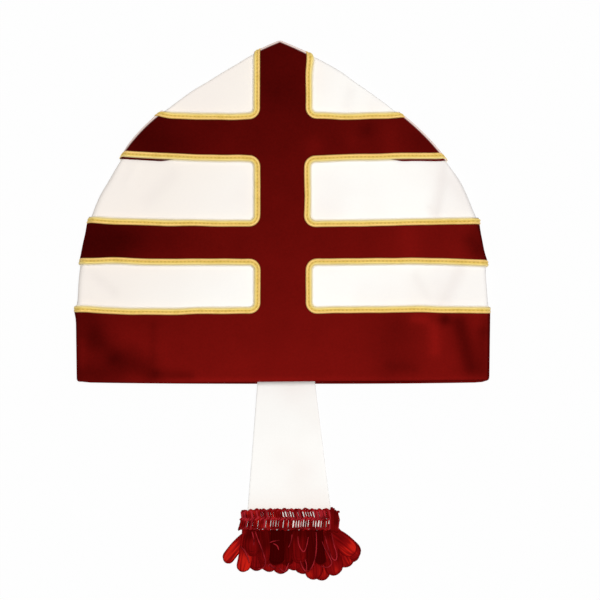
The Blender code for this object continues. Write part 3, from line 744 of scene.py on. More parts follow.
def make_overlay(name, node, side, bottom, spacing, count):
    """A velvet over the whole horn, with its hem turned in and its windows cut out."""
    all_columns = columns(count)
    faced = range(TURN_STEPS, len(all_columns) - TURN_STEPS)
    rows = laid_on(side, outline_rows(bottom, spacing), all_columns, LAYER_GAP)
    bm = grid_mesh(hem_rows(side, bottom, all_columns) + rows)
    # The hem's turn lies flat inside, and has none of the sides' turned columns
    spare = []
    for index, vert in enumerate(bm.verts):
        row, column = divmod(index, len(all_columns))
        if row <= TURN_ROWS and column not in faced:
            spare.append(vert)
    bmesh.ops.delete(bm, geom=spare, context="VERTS")
    face_outwards(bm, side)
    overlay = add_piece(name, bm, red_velvet, "red_velvet", node)
    add_thickness(overlay, VELVET_THICKNESS, 1)
    cut = overlay.modifiers.new("Windows", "BOOLEAN")
    cut.object = window_cutters
    whole = overlay.evaluated_get(bpy.context.evaluated_depsgraph_get())
    overlay.data = bpy.data.meshes.new_from_object(whole)
    overlay.modifiers.clear()
    overlay.data.set_sharp_from_angle(angle=math.radians(VELVET_SHARP))
    mark(overlay, "pile", pile_tone, side)
    mark(overlay, "edge", edge_mark, LAYER_GAP + VELVET_THICKNESS)
    return overlay


front_overlay = make_overlay("front_overlay", "front_velvet", FRONT, FRONT_HEM, *FINE)
back_overlay = make_overlay("back_overlay", "back_velvet", BACK, BACK_HEM, *PLAIN)
bpy.data.objects.remove(window_cutters)

# The soutache is a flat gold braid, plaited over two cords, so that it has two ribs with a
# groove between. One length of it follows each window's edge, stitched down through the
# groove, so that its threads lap over the velvet's raw edge. Its ends are pressed flat where
# they turn over the horn's side into the seam.
BRAID_WIDTH = 0.0046
BRAID_WANDER = {"sideways": 0.00035, "per_metre": 55.0}
RIB_STEPS = 6
RIB_HALF = 0.25
GROOVE_HALF = 0.2
GROOVE = 0.45
LAP = 0.0011
END_PRESS = 0.45
THREAD_PITCH = 0.0011
STITCH_PITCH = 0.0029
RIB_SHARP = 65


def round_edge(side, point, offset):
    """Wraps a point of the flat pattern over the turned edge, this far outside the cloth."""
    depth, outward = edge_depth(point)
    across, height = point
    radius = side_radius(height)
    angle = math.pi / 2
    if depth < radius:
        angle = max(0.0, math.pi / 2 - (radius - depth) / (radius + BRAID_BASE))
        offset *= 1 - END_PRESS * math.cos(angle)
        shift = depth - radius + (radius + offset) * math.cos(angle)
        across += outward.x * shift
        height += outward.y * shift
    drop = radius - (radius + offset) * math.sin(angle)
    level = face_level(side, across, height) - side * drop
    return settled(side, across, height, level)


def braid_section():
    """Two round ribs, a groove between, and the lap: places across, and heights over cloth."""
    section = []
    for rib in (-1, 1):
        for step in range(RIB_STEPS + 1):
            angle = math.pi * (1 - step / RIB_STEPS)
            across = rib * RIB_HALF + RIB_HALF * math.cos(angle)
            rise = max(math.sin(angle), GROOVE if abs(across) < GROOVE_HALF else 0.0)
            if not section or across * BRAID_WIDTH - section[-1][0] > DOUBLES:
                section.append((across * BRAID_WIDTH, BRAID_BASE + rise * BRAID_THICKNESS))
    return section + [(BRAID_WIDTH / 2 + LAP, LAYER_GAP)]


def swept_mesh(rings, ring_places, distances, tints=None):
    """A closed bar through rings of points, with its places along and round it as a UV map."""
    width = len(rings[0]) + 1
    bm = grid_mesh([ring + ring[:1] for ring in rings])
    layer = bm.loops.layers.uv.new("UVMap")
    bm.verts.index_update()
    for face in bm.faces:
        for loop in face.loops:
            row, column = divmod(loop.vert.index, width)
            loop[layer].uv = (distances[row], ring_places[column])
    if tints:
        layer = bm.verts.layers.float.new("tint")
        for vert in bm.verts:
            row, column = divmod(vert.index, width)
            vert[layer] = tints[row][column % (width - 1)]
    bmesh.ops.remove_doubles(bm, verts=bm.verts, dist=DOUBLES)
    bmesh.ops.holes_fill(bm, edges=[edge for edge in bm.edges if edge.is_boundary])
    bmesh.ops.recalc_face_normals(bm, faces=bm.faces)
    return bm


def path_lengths(path):
    lengths = [0.0]
    for start, end in zip(path, path[1:]):
        lengths.append(lengths[-1] + (end - start).length)
    return lengths


def make_gold_soutache():
    """Gold thread that crosses each rib at a slant, with a painted red reflection beside the velvet,
    painted shade in its groove and at its velvet-side edge, and painted light on its white side and lap.
    """
    fixed = {"Metallic": 0.2, "Roughness": 0.45, "Specular IOR Level": 0.25}
    material, dye, shader = new_material("gold_soutache", fixed)
    uv = dye.uv()
    along, across = uv.part(0), uv.part(1)
    side = across.maths("ABSOLUTE", across)
    thread = (along + side * 0.8).wave(THREAD_PITCH)
    dulled = dye.place().mottle(160.0).ramp(0.45, 0.70)
    stitch = (1 - side.ramp(0.0002, 0.0006)) * along.wave(STITCH_PITCH).ramp(0.45, 0.75)
    gold = dye.colour(0.74, 0.54, 0.135).mixed(
        # Painted reflection: redder beside the velvet
        (across.ramp(0.0, -0.0012), (0.80, 0.50, 0.150)),
        (thread * 0.35, (0.88, 0.69, 0.24)),
        (dulled * 0.40, (0.62, 0.42, 0.07)),
        # Painted shade in the groove between the ribs
        ((1 - side.ramp(0.0001, 0.0005)) * 0.30, (0.52, 0.32, 0.025)),
        (stitch * 0.35, (0.36, 0.19, 0.015)),
        # Painted shade along the velvet-side edge
        (across.ramp(-0.0018, -0.0023) * 0.8, (0.24, 0.110, 0.030)),
        # Painted light on the white side and the lap, against their shade
        (across.ramp(0.0010, 0.0019) * 0.5, (0.86, 0.74, 0.38)),
        (across.ramp(0.0020, 0.0032), (0.92, 0.86, 0.73)),
    )
    dye.feed(shader, {"Base Color": gold, "Normal": dye.bump(thread, 0.0002, 0.6)})
    return material


gold_soutache = make_gold_soutache()
section = braid_section()


def make_soutache(side, window_name, hand):
    """One braid along its window's edge, wrapped over the horn's side at its ends."""
    margin = RAW_EDGE + BRAID_WIDTH / 2
    path = window_path(window_name, hand, margin, margin)
    rings = []
    for index, point in enumerate(path):
        before, after = path[max(index - 1, 0)], path[min(index + 1, len(path) - 1)]
        along = (after - before).normalized()
        inwards = Vector((along.y, -along.x)) * hand
        wander = noise.noise(point.to_3d() * BRAID_WANDER["per_metre"]) * BRAID_WANDER["sideways"]
        ring = []
        for across, level in section:
            wandered = across + (wander if level > LAYER_GAP else 0.0)
            ring.append(round_edge(side, point + inwards * wandered, level))
        rings.append(ring)
    places = [across for across, level in section]
    return swept_mesh(rings, places + places[:1], path_lengths(path))


for side, side_name in ((FRONT, "front"), (BACK, "back")):
    for window_name in WINDOWS:
        for hand, hand_name in ((-1, "left"), (1, "right")):
            bm = make_soutache(side, window_name, hand)
            name = f"soutache_{side_name}_{window_name}_{hand_name}"
            node = f"{side_name}_braid_{window_name}_{hand_name}"
            soutache = add_piece(name, bm, gold_soutache, "gold_braid", node)
            soutache.data.set_sharp_from_angle(angle=math.radians(RIB_SHARP))

# The lappet is a tapered band of the same ivory cotton, sewn double. It hangs from inside the
# back hem, comes out between the hems and sinks to the surface, and flares to its lower end.
LAPPET_LENGTH = 0.1073
LAPPET_TUCK = 0.0280
LAPPET_WIDTH = 0.0423
LAPPET_FLARE = 0.0215
LAPPET_THICKNESS = 0.0016
LAPPET_FALL = 0.0420
LAPPET_OFFSET = 0.0028
LAPPET_SWING = 0.0025
LAPPET_WAVE = {"rise": 0.0003, "per_metre": 60, "seed": 3}
LAPPET_SPACING = 0.002
LAPPET_COLUMNS = 30
FOLDED_EDGE = 0.4
HEADER_WALL = 0.0012
LAPPET_HIGH = BACK_FACE + CLOTH_THICKNESS + 2 * LAYER_GAP + VELVET_THICKNESS
LAPPET_LOW = HEADER_WALL + LAYER_GAP


def lappet_middle(height):
    return LAPPET_OFFSET + LAPPET_SWING * max(0.0, -height) / LAPPET_LENGTH


def make_lappet():
    """Rows from the tuck down. The band lies a little uneven where it has reached the surface."""
    rows = []
    for height in between(LAPPET_TUCK, -LAPPET_LENGTH, LAPPET_SPACING):
        share = ease((height + LAPPET_FALL + HEM_TURN / 2) / LAPPET_FALL)
        level = LAPPET_LOW + (LAPPET_HIGH - LAPPET_LOW) * share
        half = (LAPPET_WIDTH + LAPPET_FLARE * max(0.0, -height) / LAPPET_LENGTH) / 2
        row = []
        for step in range(LAPPET_COLUMNS + 1):
            place = 2 * step / LAPPET_COLUMNS - 1
            across = lappet_middle(height) + half * place
            spot = Vector((across, height, LAPPET_WAVE["seed"])) * LAPPET_WAVE["per_metre"]
            wave = 1 + noise.noise(spot)
            lift = LAPPET_WAVE["rise"] * (1 - abs(place)) * wave
            row.append(Vector((across, height + HEM_Y, level + lift * (1 - share))))
        rows.append(row)
    bm = grid_mesh(rows)
    face_outwards(bm, FRONT)
    lappet = add_piece("lappet_band", bm, white_cotton, "white_cloth", "lappet")
    add_thickness(lappet, LAPPET_THICKNESS, 1)
    bevel = lappet.modifiers.new("Folded edges", "BEVEL")
    bevel.width = LAPPET_THICKNESS * FOLDED_EDGE
    bevel.segments = 2
    return lappet


lappet_band = make_lappet()

# The header is a crocheted gimp, sewn round the lappet's end: a scalloped cord along its top,
# a plaited cord along its middle and one along its foot, with ladders of thread between them
# through which the lappet shows. Front and back are alike, and join at the sides and foot.
HEADER_WIDTH = 0.0728
HEADER_FOOT = 0.0024
HEADER_THICKNESS = LAPPET_THICKNESS + 2 * (HEADER_WALL + LAYER_GAP)
HEADER_Y = HEM_Y - LAPPET_LENGTH
HEADER_X = lappet_middle(-LAPPET_LENGTH)
HEADER_FACE = {True: HEADER_THICKNESS - HEADER_WALL / 2, False: HEADER_WALL}
HEADER_RISE = 0.014
HEADER_TURN = 0.94
# Where the header's ends start to droop, as shares of its half-width, and how far they do
DROOP_START = {"right": 0.86, "left": 0.60}
DROOP = {"right": 0.0015, "left": 0.0012, "lean": 0.0011}
LADDER_PITCH = 0.0019
THREAD_RADIUS = {"closed": 0.00100, "open": 0.00060}
TUBE_SIDES = {"cord": 7, "thread": 6, "edge": 5}
# The yarn's tints, which paint its light and shade: rose is a painted highlight, maroon painted shade,
# crimson its own colour, and scarlet painted light shining through
ROSE, MAROON, CRIMSON, SCARLET = -1.0, 0.0, 0.5, 1.0
CORD_SPACING = 0.0006
CORD_DEPTH = 0.6
CORD_WANDER = {"rise": 0.0006, "per_metre": 130, "seed": 9}
UNEVEN_DYE = {"share": 0.8, "per_metre": 240}
# The cords: height, length and height of their waves, radius, phase and tint; rose tints are painted
# highlights
Cord = namedtuple("Cord", "height wave sway radius phase tint")
CORDS = (
    (0.0137, 0.0051, 0.0007, 0.00064, 0.0, 0.55),
    (0.0132, 0.0036, 0.0006, 0.00060, 2.1, -0.70),
    (0.0136, 0.0029, 0.0005, 0.00050, 4.2, 0.55),
    (0.0075, 0.0038, 0.0008, 0.00070, 0.4, -0.80),
    (0.0069, 0.0038, 0.0008, 0.00070, 3.5, -0.95),
    (0.0073, 0.0027, 0.0006, 0.00055, 1.2, 0.50),
    (0.0002, 0.0034, 0.0007, 0.00060, 0.9, -0.45),
    (-0.0006, 0.0042, 0.0006, 0.00062, 3.1, 0.50),
    (-0.0002, 0.0026, 0.0006, 0.00048, 5.0, -0.60),
)
# Ladders: their heights and lean, and the stretches where they are open, and how far
LADDERS = (
    {"low": 0.0074, "high": 0.0134, "slant": -0.0016, "open": (
        (-0.0335, -0.0320, 0.30), (-0.0217, -0.0172, 0.55), (-0.0153, -0.0100, 0.45),
        (-0.0072, 0.0023, 1.00), (0.0023, 0.0068, 0.40), (0.0087, 0.0203, 0.95),
        (0.0223, 0.0241, 0.30))},
    {"low": 0.0002, "high": 0.0070, "slant": 0.0007, "open": (
        (-0.0330, -0.0250, 0.25), (-0.0186, -0.0168, 0.30), (-0.0168, -0.0090, 0.55),
        (-0.0090, 0.0016, 0.28), (0.0016, 0.0114, 1.00), (0.0124, 0.0144, 0.85),
        (0.0163, 0.0257, 1.05), (0.0260, 0.0305, 0.85))},
)
LADDER_REACH = 0.0352
LADDER_STEPS = 6
LADDER_ENDS = 0.5
SHAKE = 0.12
# How many ladder threads take rose tints, which are painted highlights
ROSE_SHARE = 0.35
ROSE_TINTS, RED_TINTS = (-0.9, -0.6), (0.35, 0.65)
# The header's right side is folded over: threads across from its middle, with their tops
SIDE_FOLD = ((0.0309, 0.0158), (0.0322, 0.0152), (0.0335, 0.0140), (0.0346, 0.0122))
FOLD_THREAD = {"low": -0.002, "spacing": 0.002, "rise": 0.0006, "radius": 0.0009, "tint": 0.30}


def tube_mesh(path, radii, tint, kind):
    """A round thread along a path. Its dye is a little uneven along its length."""
    rings, tints = [], []
    sides = TUBE_SIDES[kind]
    last = len(path) - 1
    angles = [2 * math.pi * step / sides for step in range(sides)]
    for index, (point, radius) in enumerate(zip(path, radii)):
        along = (path[min(index + 1, last)] - path[max(index - 1, 0)]).normalized()
        upright = Vector((0, 0, 1)) if abs(along.z) < 0.9 else Vector((0, 1, 0))
        sideways = along.cross(upright).normalized()
        rise = sideways.cross(along)
        ways = [sideways * math.cos(angle) + rise * math.sin(angle) for angle in angles]
        rings.append([point + radius * way for way in ways])
        uneven = UNEVEN_DYE["share"] * noise.noise(point * UNEVEN_DYE["per_metre"])
        tints.append([tint * (1 + uneven)] * sides)
    places = [step / sides for step in range(sides + 1)]
    return swept_mesh(rings, places, path_lengths(path), tints)


def new_yarn_mesh():
    """An empty mesh with the two things that the yarn's dye reads."""
    bm = bmesh.new()
    bm.verts.layers.float.new("tint")
    bm.loops.layers.uv.new("UVMap")
    return bm


def gather(bm, other):
    """Adds another mesh to this one."""
    mesh = finished_mesh("gathered", other)
    bm.from_mesh(mesh)
    bpy.data.meshes.remove(mesh)


def make_crimson_yarn():
    """Rayon yarn, crimson, whose tint paints its light and shade: rose highlights on its ribs, maroon
    shade in the depth, and scarlet light shining through where it is thin.
    """
    fixed = {"Roughness": 0.6, "Specular IOR Level": 0.0}
    material, dye, shader = new_material("crimson_yarn", fixed)
    tint, uv = dye.attribute("tint"), dye.uv()
    strand = (uv.part(0) + uv.part(1) * 0.004).wave(0.0013)
    # Rose is a painted highlight, maroon painted shade, and scarlet painted light shining through
    red = dye.colour(0.375, 0.0170, 0.0245).mixed(
        (tint.ramp(ROSE, MAROON), (0.038, 0.0004, 0.0004)),
        (tint.ramp(MAROON, CRIMSON), (0.190, 0.0030, 0.0034)),
        (tint.ramp(CRIMSON, SCARLET), (0.500, 0.0120, 0.0065)),
        (strand * 0.20, (0.020, 0.0, 0.0)),
    )
    dye.feed(shader, {"Base Color": red, "Normal": dye.bump(strand, 0.00015, 0.5)})
    return material


crimson_yarn = make_crimson_yarn()


def towards_end(share, start):
    """0 up to this share of the header's half-width, and 1 at its end."""
    return ease((share - start) / (1 - start))


def header_point(across, height, front):
    """A point on the header's outer face. Its sides turn from the front round to the back."""
    share, rise = 2 * across / HEADER_WIDTH, height / HEADER_RISE
    right, left = towards_end(share, DROOP_START["right"]), towards_end(-share, DROOP_START["left"])
    level = HEADER_FACE[front]
    level += (HEADER_THICKNESS / 2 - level) * towards_end(abs(share), HEADER_TURN)
    droop = DROOP["right"] * right + DROOP["left"] * left * rise
    across += DROOP["lean"] * (2 * rise - 1) * left
    return Vector((HEADER_X + across, HEADER_Y + height - droop, level))


def make_cord(cord, front):
    """A cord along the header that winds up and down, and over and under."""
    path = []
    for across in between(-HEADER_WIDTH / 2, HEADER_WIDTH / 2, CORD_SPACING):
        angle = across / cord.wave * 2 * math.pi + cord.phase
        height = cord.height + cord.sway * math.sin(angle)
        spot = Vector((across * CORD_WANDER["per_metre"], cord.phase, front * CORD_WANDER["seed"]))
        height += CORD_WANDER["rise"] * noise.noise(spot)
        point = header_point(across, height, front)
        point.z += (1 if front else -1) * cord.radius * CORD_DEPTH * math.cos(angle)
        path.append(point)
    return tube_mesh(path, [cord.radius] * len(path), cord.tint, "cord")


def make_ladder_thread(ladder, across, front, tint):
    """A thread between two cords, thicker at its ends, and thin where the ladder is open."""
    gap = max([share for start, end, share in ladder["open"] if start <= across <= end] or [0.0])
    radius = THREAD_RADIUS["closed"] + (THREAD_RADIUS["open"] - THREAD_RADIUS["closed"]) * gap
    rise, radii, path = ladder["high"] - ladder["low"], [], []
    for step in range(LADDER_STEPS + 1):
        share = step / LADDER_STEPS
        place = across + ladder["slant"] * (share - 0.5)
        path.append(header_point(place, ladder["low"] + rise * share, front))
        radii.append(radius * (1 + LADDER_ENDS * gap * abs(2 * share - 1) ** 4))
    return tube_mesh(path, radii, tint, "thread")


def make_header():
    """Cords and ladders on both faces. A third of the ladders' threads are rose, painted highlights, the
    rest red.
    """
    chance = random.Random(4)
    bm = new_yarn_mesh()
    for front in (True, False):
        for cord in CORDS:
            gather(bm, make_cord(Cord(*cord), front))
        for ladder in LADDERS:
            for across in between(-LADDER_REACH, LADDER_REACH, LADDER_PITCH):
                across += chance.uniform(-SHAKE, SHAKE) * LADDER_PITCH
                tints = ROSE_TINTS if chance.random() < ROSE_SHARE else RED_TINTS
                gather(bm, make_ladder_thread(ladder, across, front, chance.uniform(*tints)))
    for across, top in SIDE_FOLD:
        heights = between(FOLD_THREAD["low"], top, FOLD_THREAD["spacing"])
        rise = Vector((0, 0, FOLD_THREAD["rise"]))
        path = [header_point(across, height, True) + rise for height in heights]
        gather(bm, tube_mesh(path, [FOLD_THREAD["radius"]] * len(path), FOLD_THREAD["tint"], "cord"))
    return bm


add_piece("fringe_header", make_header(), crimson_yarn, "crimson_yarn", "lappet_fringe")

# The fringe is a thick row of soft loops of fine rayon threads that hang from the header's
# foot. Each loop is a flat petal of threads with a dark edge, and they overlap in layers. The
# ones at both ends spread out to the sides, where light comes through them. Looser threads,
# rose where they catch the light, wander over the top.
LOOP_LENGTH = 0.0375
LOOP_WIDTH = 0.0118
LOOP_BEND = 0.0012
BEND_SEED = 40
LOOP_BASE = 0.0010
LOOP_LEVELS = 0.8
PETAL_ROWS, PETAL_COLUMNS = 22, 24
PETAL_CROWDING = 1.6
PETAL_DOME = 0.0008
PETAL_UNDERSIDE = -0.5
PETAL_FURROW = 0.2
PETAL_STRAND = 0.12
PETAL_ROOT, PETAL_BELLY, PETAL_END = 0.84, 0.6, 1.15
# The glow is painted light shining through a petal: how long it takes to rise, and where and how far it
# fades to the rim and the tip
GLOW = {"least": 0.45, "run": 0.35, "rim": 0.60, "rim_loss": 0.75, "tip": 0.90, "tip_loss": 0.6}
# Streaks: their strength, how close they are across and along, and what sets loops apart
STREAKS = ((1.0, 5, 1.5, 90), (0.7, 14, 2.5, 70))
STREAK_SHARE = 0.65
LOOP_STEPS = 32
STRAY_STEPS = 8
# Where a loop's root and tip are, as shares of the header's width, its length and width as
# shares of a whole loop's, its level in the fringe, its tint, which paints its light and shade, and
# where along it the painted glow starts
Loop = namedtuple("Loop", "root tip drop width level tint glow")
LOOPS = (
    (-0.36, -0.655, 0.600, 0.75, 0.25, 0.84, 0.30),
    (-0.42, -0.480, 0.790, 0.86, 0.58, 1.00, 0.38),
    (-0.31, -0.340, 0.770, 1.02, 0.38, 0.34, 0.30),
    (-0.20, -0.205, 0.790, 1.02, 0.56, 0.54, 0.60),
    (-0.10, -0.088, 0.830, 1.08, 0.38, 0.54, 0.60),
    (0.00, 0.055, 0.760, 1.10, 0.52, 0.46, 0.50),
    (0.09, 0.145, 0.830, 1.05, 0.36, 0.46, 0.50),
    (0.18, 0.250, 0.940, 1.12, 0.60, 0.62, 0.55),
    (0.26, 0.338, 0.957, 1.08, 0.44, 0.66, 0.50),
    (0.34, 0.463, 0.857, 1.15, 0.62, 0.56, 0.60),
    (0.40, 0.605, 0.680, 1.20, 0.46, 0.54, 0.35),
    (0.41, 0.680, 0.560, 1.15, 0.34, 0.50, 0.20),
    (0.37, 0.700, 0.495, 1.05, 0.54, 0.50, 0.34),
    (0.345, 0.660, 0.430, 1.12, 0.66, 0.80, 0.46),
    (-0.37, -0.375, 0.480, 1.10, 0.74, 0.34, 0.20),
    (-0.25, -0.245, 0.640, 1.00, 0.72, 0.34, 0.40),
    (-0.13, -0.140, 0.660, 1.15, 0.80, 0.03, 0.20),
    (-0.02, -0.030, 0.660, 1.00, 0.70, 0.16, 0.20),
    (0.09, 0.105, 0.620, 1.05, 0.78, 0.30, 0.10),
    (0.20, 0.205, 0.760, 0.95, 0.70, 0.24, 0.90),
    (0.30, 0.315, 0.660, 0.75, 0.78, 0.12, 0.90),
    (0.38, 0.420, 0.600, 1.10, 0.70, 0.36, 0.10),
)
# The backing loops' near maroon tint is painted shade in the fringe's depth
BACKING = {"drop": 0.66, "width": 1.15, "level": 0.15, "tint": 0.05, "glow": 0.5}
BACKING_COUNT, BACKING_REACH, BACKING_SPREAD = 15, 0.40, 1.06
# How far down a loop its threads reach, how fast they drop, and how soon they are spread
THREAD_WAY = {"reach": 0.70, "by_size": 0.285, "drop": 2.6, "spread": 3.2, "roundness": 0.8}
EDGE_THREAD = {"size": 1.0, "radius": 0.00024, "tint": 0.30}
RIB_THREADS = (
    {"size": 0.74, "radius": 0.00020, "tint": 0.85},
    {"size": 0.40, "radius": 0.00018, "tint": 0.75},
)
STRAY_THREAD = {"radius": 0.00054, "thinnest": 0.6, "level": 0.0050, "sink": 0.0012, "tint": -0.60}
# Loose threads: their points across from the header's middle, and down from the lappet's end
STRAYS = (
    ((-0.0256, 0.0012), (-0.0233, 0.0079), (-0.0203, 0.0154), (-0.0177, 0.0244), (-0.0196, 0.0289),
     (-0.0233, 0.0297)),
    ((-0.0278, 0.0019), (-0.0263, 0.0079), (-0.0264, 0.0124)),
    ((-0.0147, 0.0103), (-0.0113, 0.0092), (-0.0072, 0.0085)),
    ((-0.0121, 0.0109), (-0.0091, 0.0128), (-0.0080, 0.0160)),
    ((0.0059, 0.0034), (0.0065, 0.0109), (0.0085, 0.0154), (0.0104, 0.0169), (0.0123, 0.0132),
     (0.0138, 0.0057)),
    ((0.0194, 0.0019), (0.0197, 0.0109), (0.0190, 0.0199), (0.0168, 0.0274), (0.0134, 0.0319)),
    ((0.0078, 0.0237), (0.0093, 0.0282), (0.0119, 0.0312), (0.0124, 0.0270), (0.0112, 0.0222)),
    ((0.0235, 0.0087), (0.0262, 0.0154), (0.0299, 0.0222), (0.0307, 0.0259), (0.0277, 0.0285),
     (0.0228, 0.0274)),
    ((0.0307, 0.0027), (0.0325, 0.0117), (0.0346, 0.0192), (0.0337, 0.0231), (0.0310, 0.0214),
     (0.0277, 0.0124), (0.0258, 0.0049)),
    ((0.0018, 0.0042), (0.0010, 0.0094), (-0.0009, 0.0139)),
    ((-0.0361, 0.0132), (-0.0331, 0.0162), (-0.0307, 0.0214), (-0.0297, 0.0252)),
    ((-0.0160, 0.0280), (-0.0145, 0.0262), (-0.0125, 0.0282), (-0.0100, 0.0292)),
    ((-0.0075, 0.0292), (-0.0040, 0.0316), (-0.0020, 0.0285), (-0.0005, 0.0250)),
)


def petal_half(share, length, half):
    """Half-width of a loop along its length: a full root, a wide belly and a round end."""
    belly = PETAL_ROOT + (1 - PETAL_ROOT) * ease(share / PETAL_BELLY)
    end = 1 - min(PETAL_BELLY, PETAL_END * half / length)
    return half * belly * math.sqrt(max(0.0, 1 - max(0.0, (share - end) / (1 - end)) ** 2))


def loop_point(loop, share, across, lift=0.0):
    """A point of a loop: its share of the way down, and its place across from -1 to 1."""
    foot = HEADER_Y - HEADER_FOOT - LOOP_LENGTH * loop.drop
    start = Vector((HEADER_X + HEADER_WIDTH * loop.root, HEADER_Y - HEADER_FOOT / 2))
    end = Vector((HEADER_X + HEADER_WIDTH * loop.tip, foot))
    along = (end - start).normalized()
    half = petal_half(share, (end - start).length, LOOP_WIDTH / 2 * loop.width)
    bend = LOOP_BEND * math.sin(share * math.pi) * math.sin(loop.root * BEND_SEED)
    spot = start.lerp(end, share) + Vector((-along.y, along.x)) * (half * across + bend)
    return Vector((spot.x, spot.y, HEADER_THICKNESS * loop.level * LOOP_LEVELS + LOOP_BASE + lift))


def petal_tint(loop, share, across):
    """A petal has painted shade at its root and rim, painted light shining through beyond its glow's
    start, and streaks.
    """
    glow = ease((share - loop.glow) / GLOW["run"])
    glow *= 1 - GLOW["rim_loss"] * ease((abs(across) - GLOW["rim"]) / (1 - GLOW["rim"]))
    glow *= 1 - GLOW["tip_loss"] * ease((share - GLOW["tip"]) / (1 - GLOW["tip"]))
    streak = 0.0
    for strength, crosswise, lengthwise, apart in STREAKS:
        spot = Vector((across * crosswise, share * lengthwise, loop.root * apart))
        streak += strength * noise.noise(spot)
    bright = GLOW["least"] + (1 - GLOW["least"]) * glow
    return max(0.0, loop.tint * bright * (1 + STREAK_SHARE * streak))


def petal_dome(share, across):
    """How far a petal bulges. It is flat at its sides and its tip."""
    return PETAL_DOME * (1 - across**2) * (1 - share**5)


def make_petal(loop):
    """A closed, lens-shaped sheet of threads inside a loop's edge."""
    turns = [math.pi * (column / PETAL_COLUMNS - 0.5) for column in range(PETAL_COLUMNS + 1)]
    places = [math.sin(turn) for turn in turns]
    rings, tints = [], []
    for row in range(PETAL_ROWS + 1):
        share = 1 - (1 - row / PETAL_ROWS) ** PETAL_CROWDING
        ring, dyes = [], []
        for face, across_all in ((1, places), (PETAL_UNDERSIDE, places[-2:0:-1])):
            for index, across in enumerate(across_all):
                dome = petal_dome(share, across) * (1 + PETAL_FURROW * (index % 2))
                ring.append(loop_point(loop, share, across, face * dome))
                dyes.append(petal_tint(loop, share, across))
        rings.append(ring)
        tints.append(dyes)
    round_it = [PETAL_STRAND * step for step in range(len(rings[0]) + 1)]
    return swept_mesh(rings, round_it, [0.0] * len(rings), tints)


def make_loop_thread(loop, thread, tint):
    """A thread that runs down one side of a loop, round its end and up the other."""
    path = []
    reach = THREAD_WAY["reach"] + THREAD_WAY["by_size"] * thread["size"]
    for step in range(LOOP_STEPS + 1):
        turn = 2 * step / LOOP_STEPS - 1
        share = reach * (1 - abs(turn) ** THREAD_WAY["drop"])
        spread = min(1.0, abs(turn) * THREAD_WAY["spread"]) ** THREAD_WAY["roundness"]
        across = thread["size"] * math.copysign(spread, turn)
        path.append(loop_point(loop, share, across, petal_dome(share, across)))
    return tube_mesh(path, [thread["radius"]] * len(path), tint, "edge")


def smooth_path(points, steps):
    """A smooth path through these points."""
    path = []
    for index, (start, end) in enumerate(zip(points, points[1:])):
        before, after = points[max(index - 1, 0)], points[min(index + 2, len(points) - 1)]
        first, second = start + (end - before) / 6, end - (after - start) / 6
        path += interpolate_bezier(start, first, second, end, steps)[:-1]
    return path + [points[-1]]


def make_stray(stray):
    """A loose thread over the loops, thinner towards its ends, where it sinks between them."""
    points = []
    for across, down in stray:
        points.append(Vector((HEADER_X + across, HEADER_Y - down, STRAY_THREAD["level"])))
    path = smooth_path(points, STRAY_STEPS)
    radii = []
    for index, point in enumerate(path):
        share = math.sin(math.pi * index / (len(path) - 1))
        point.z -= STRAY_THREAD["sink"] * (1 - share) ** 3
        thinned = STRAY_THREAD["thinnest"] + (1 - STRAY_THREAD["thinnest"]) * share
        radii.append(STRAY_THREAD["radius"] * thinned)
    return tube_mesh(path, radii, STRAY_THREAD["tint"], "thread")


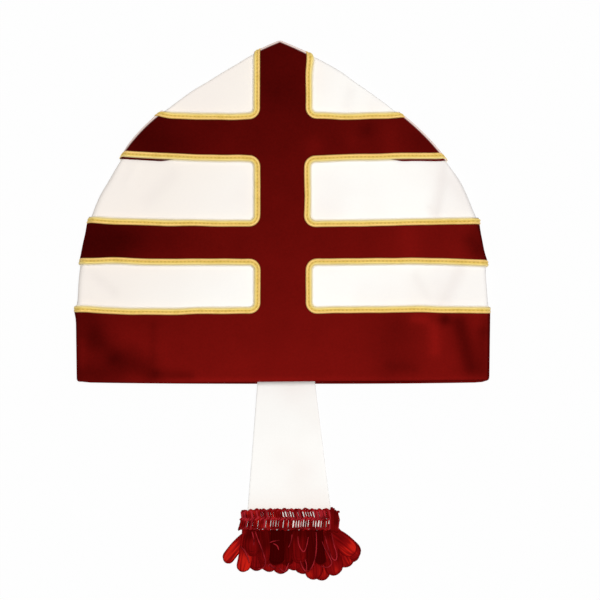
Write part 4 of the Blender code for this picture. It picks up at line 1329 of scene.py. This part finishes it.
def make_fringe_loops():
    """A row of backing loops, the shaped ones over them, their ribs, and the loose threads."""
    bm = new_yarn_mesh()
    shaped = [Loop(*row) for row in LOOPS]
    backing = []
    for step in range(BACKING_COUNT):
        root = BACKING_REACH * (2 * step / (BACKING_COUNT - 1) - 1)
        backing.append(Loop(root=root, tip=root * BACKING_SPREAD, **BACKING))
    for loop in backing + shaped:
        gather(bm, make_petal(loop))
        gather(bm, make_loop_thread(loop, EDGE_THREAD, EDGE_THREAD["tint"]))
    for loop in shaped:
        if loop.tint < CRIMSON:
            for thread in RIB_THREADS:
                gather(bm, make_loop_thread(loop, thread, thread["tint"] * loop.tint))
    for stray in STRAYS:
        gather(bm, make_stray(stray))
    return bm


add_piece("fringe_loops", make_fringe_loops(), crimson_yarn, "crimson_yarn", "lappet_fringe")

# The studio is a shadowless table: a white top that glows a little, under a wide, even light
# from above. The camera looks straight down through a long lens.
VIEW_WIDTH = 0.441
VIEW_MIDDLE = (0.0129, 0.0083)
CAMERA_HEIGHT = 6.0
SENSOR = 36.0
FLOOR = {"size": 6.0, "grey": 0.04, "glow": 0.942}
SUN = {"power": 2.9, "spread": 20, "tilt": (-4, 8)}
SKY_POWER = 0.30


def make_studio():
    bm = bmesh.new()
    bmesh.ops.create_grid(bm, x_segments=1, y_segments=1, size=FLOOR["size"])
    mesh = finished_mesh("floor", bm)
    floor = new_object("floor", mesh)
    glow = {"Emission Color": (1.0, 1.0, 1.0, 1.0), "Emission Strength": FLOOR["glow"]}
    grey = (*[FLOOR["grey"]] * 3, 1.0)
    fixed = {"Base Color": grey, "Roughness": 1.0, "Specular IOR Level": 0.0, **glow}
    mesh.materials.append(new_material("floor_white", fixed)[0])
    sun_data = bpy.data.lights.new("overhead", "SUN")
    sun_data.energy = SUN["power"]
    sun_data.angle = math.radians(SUN["spread"])
    sun = new_object("overhead", sun_data)
    sun.rotation_euler = (*[math.radians(angle) for angle in SUN["tilt"]], 0)
    world = bpy.data.worlds.new("studio")
    world.use_nodes = True
    sky = world.node_tree.nodes["Background"]
    sky.inputs["Color"].default_value = (1.0, 1.0, 1.0, 1.0)
    sky.inputs["Strength"].default_value = SKY_POWER
    bpy.context.scene.world = world
    bpy.context.scene.view_settings.view_transform = "Standard"


def make_camera():
    data = bpy.data.cameras.new("camera")
    data.sensor_width = SENSOR
    data.lens = SENSOR * CAMERA_HEIGHT / VIEW_WIDTH
    data.clip_end = 100.0
    camera = new_object("camera", data)
    camera.location = (*VIEW_MIDDLE, CAMERA_HEIGHT)
    bpy.context.scene.camera = camera


make_studio()
make_camera()
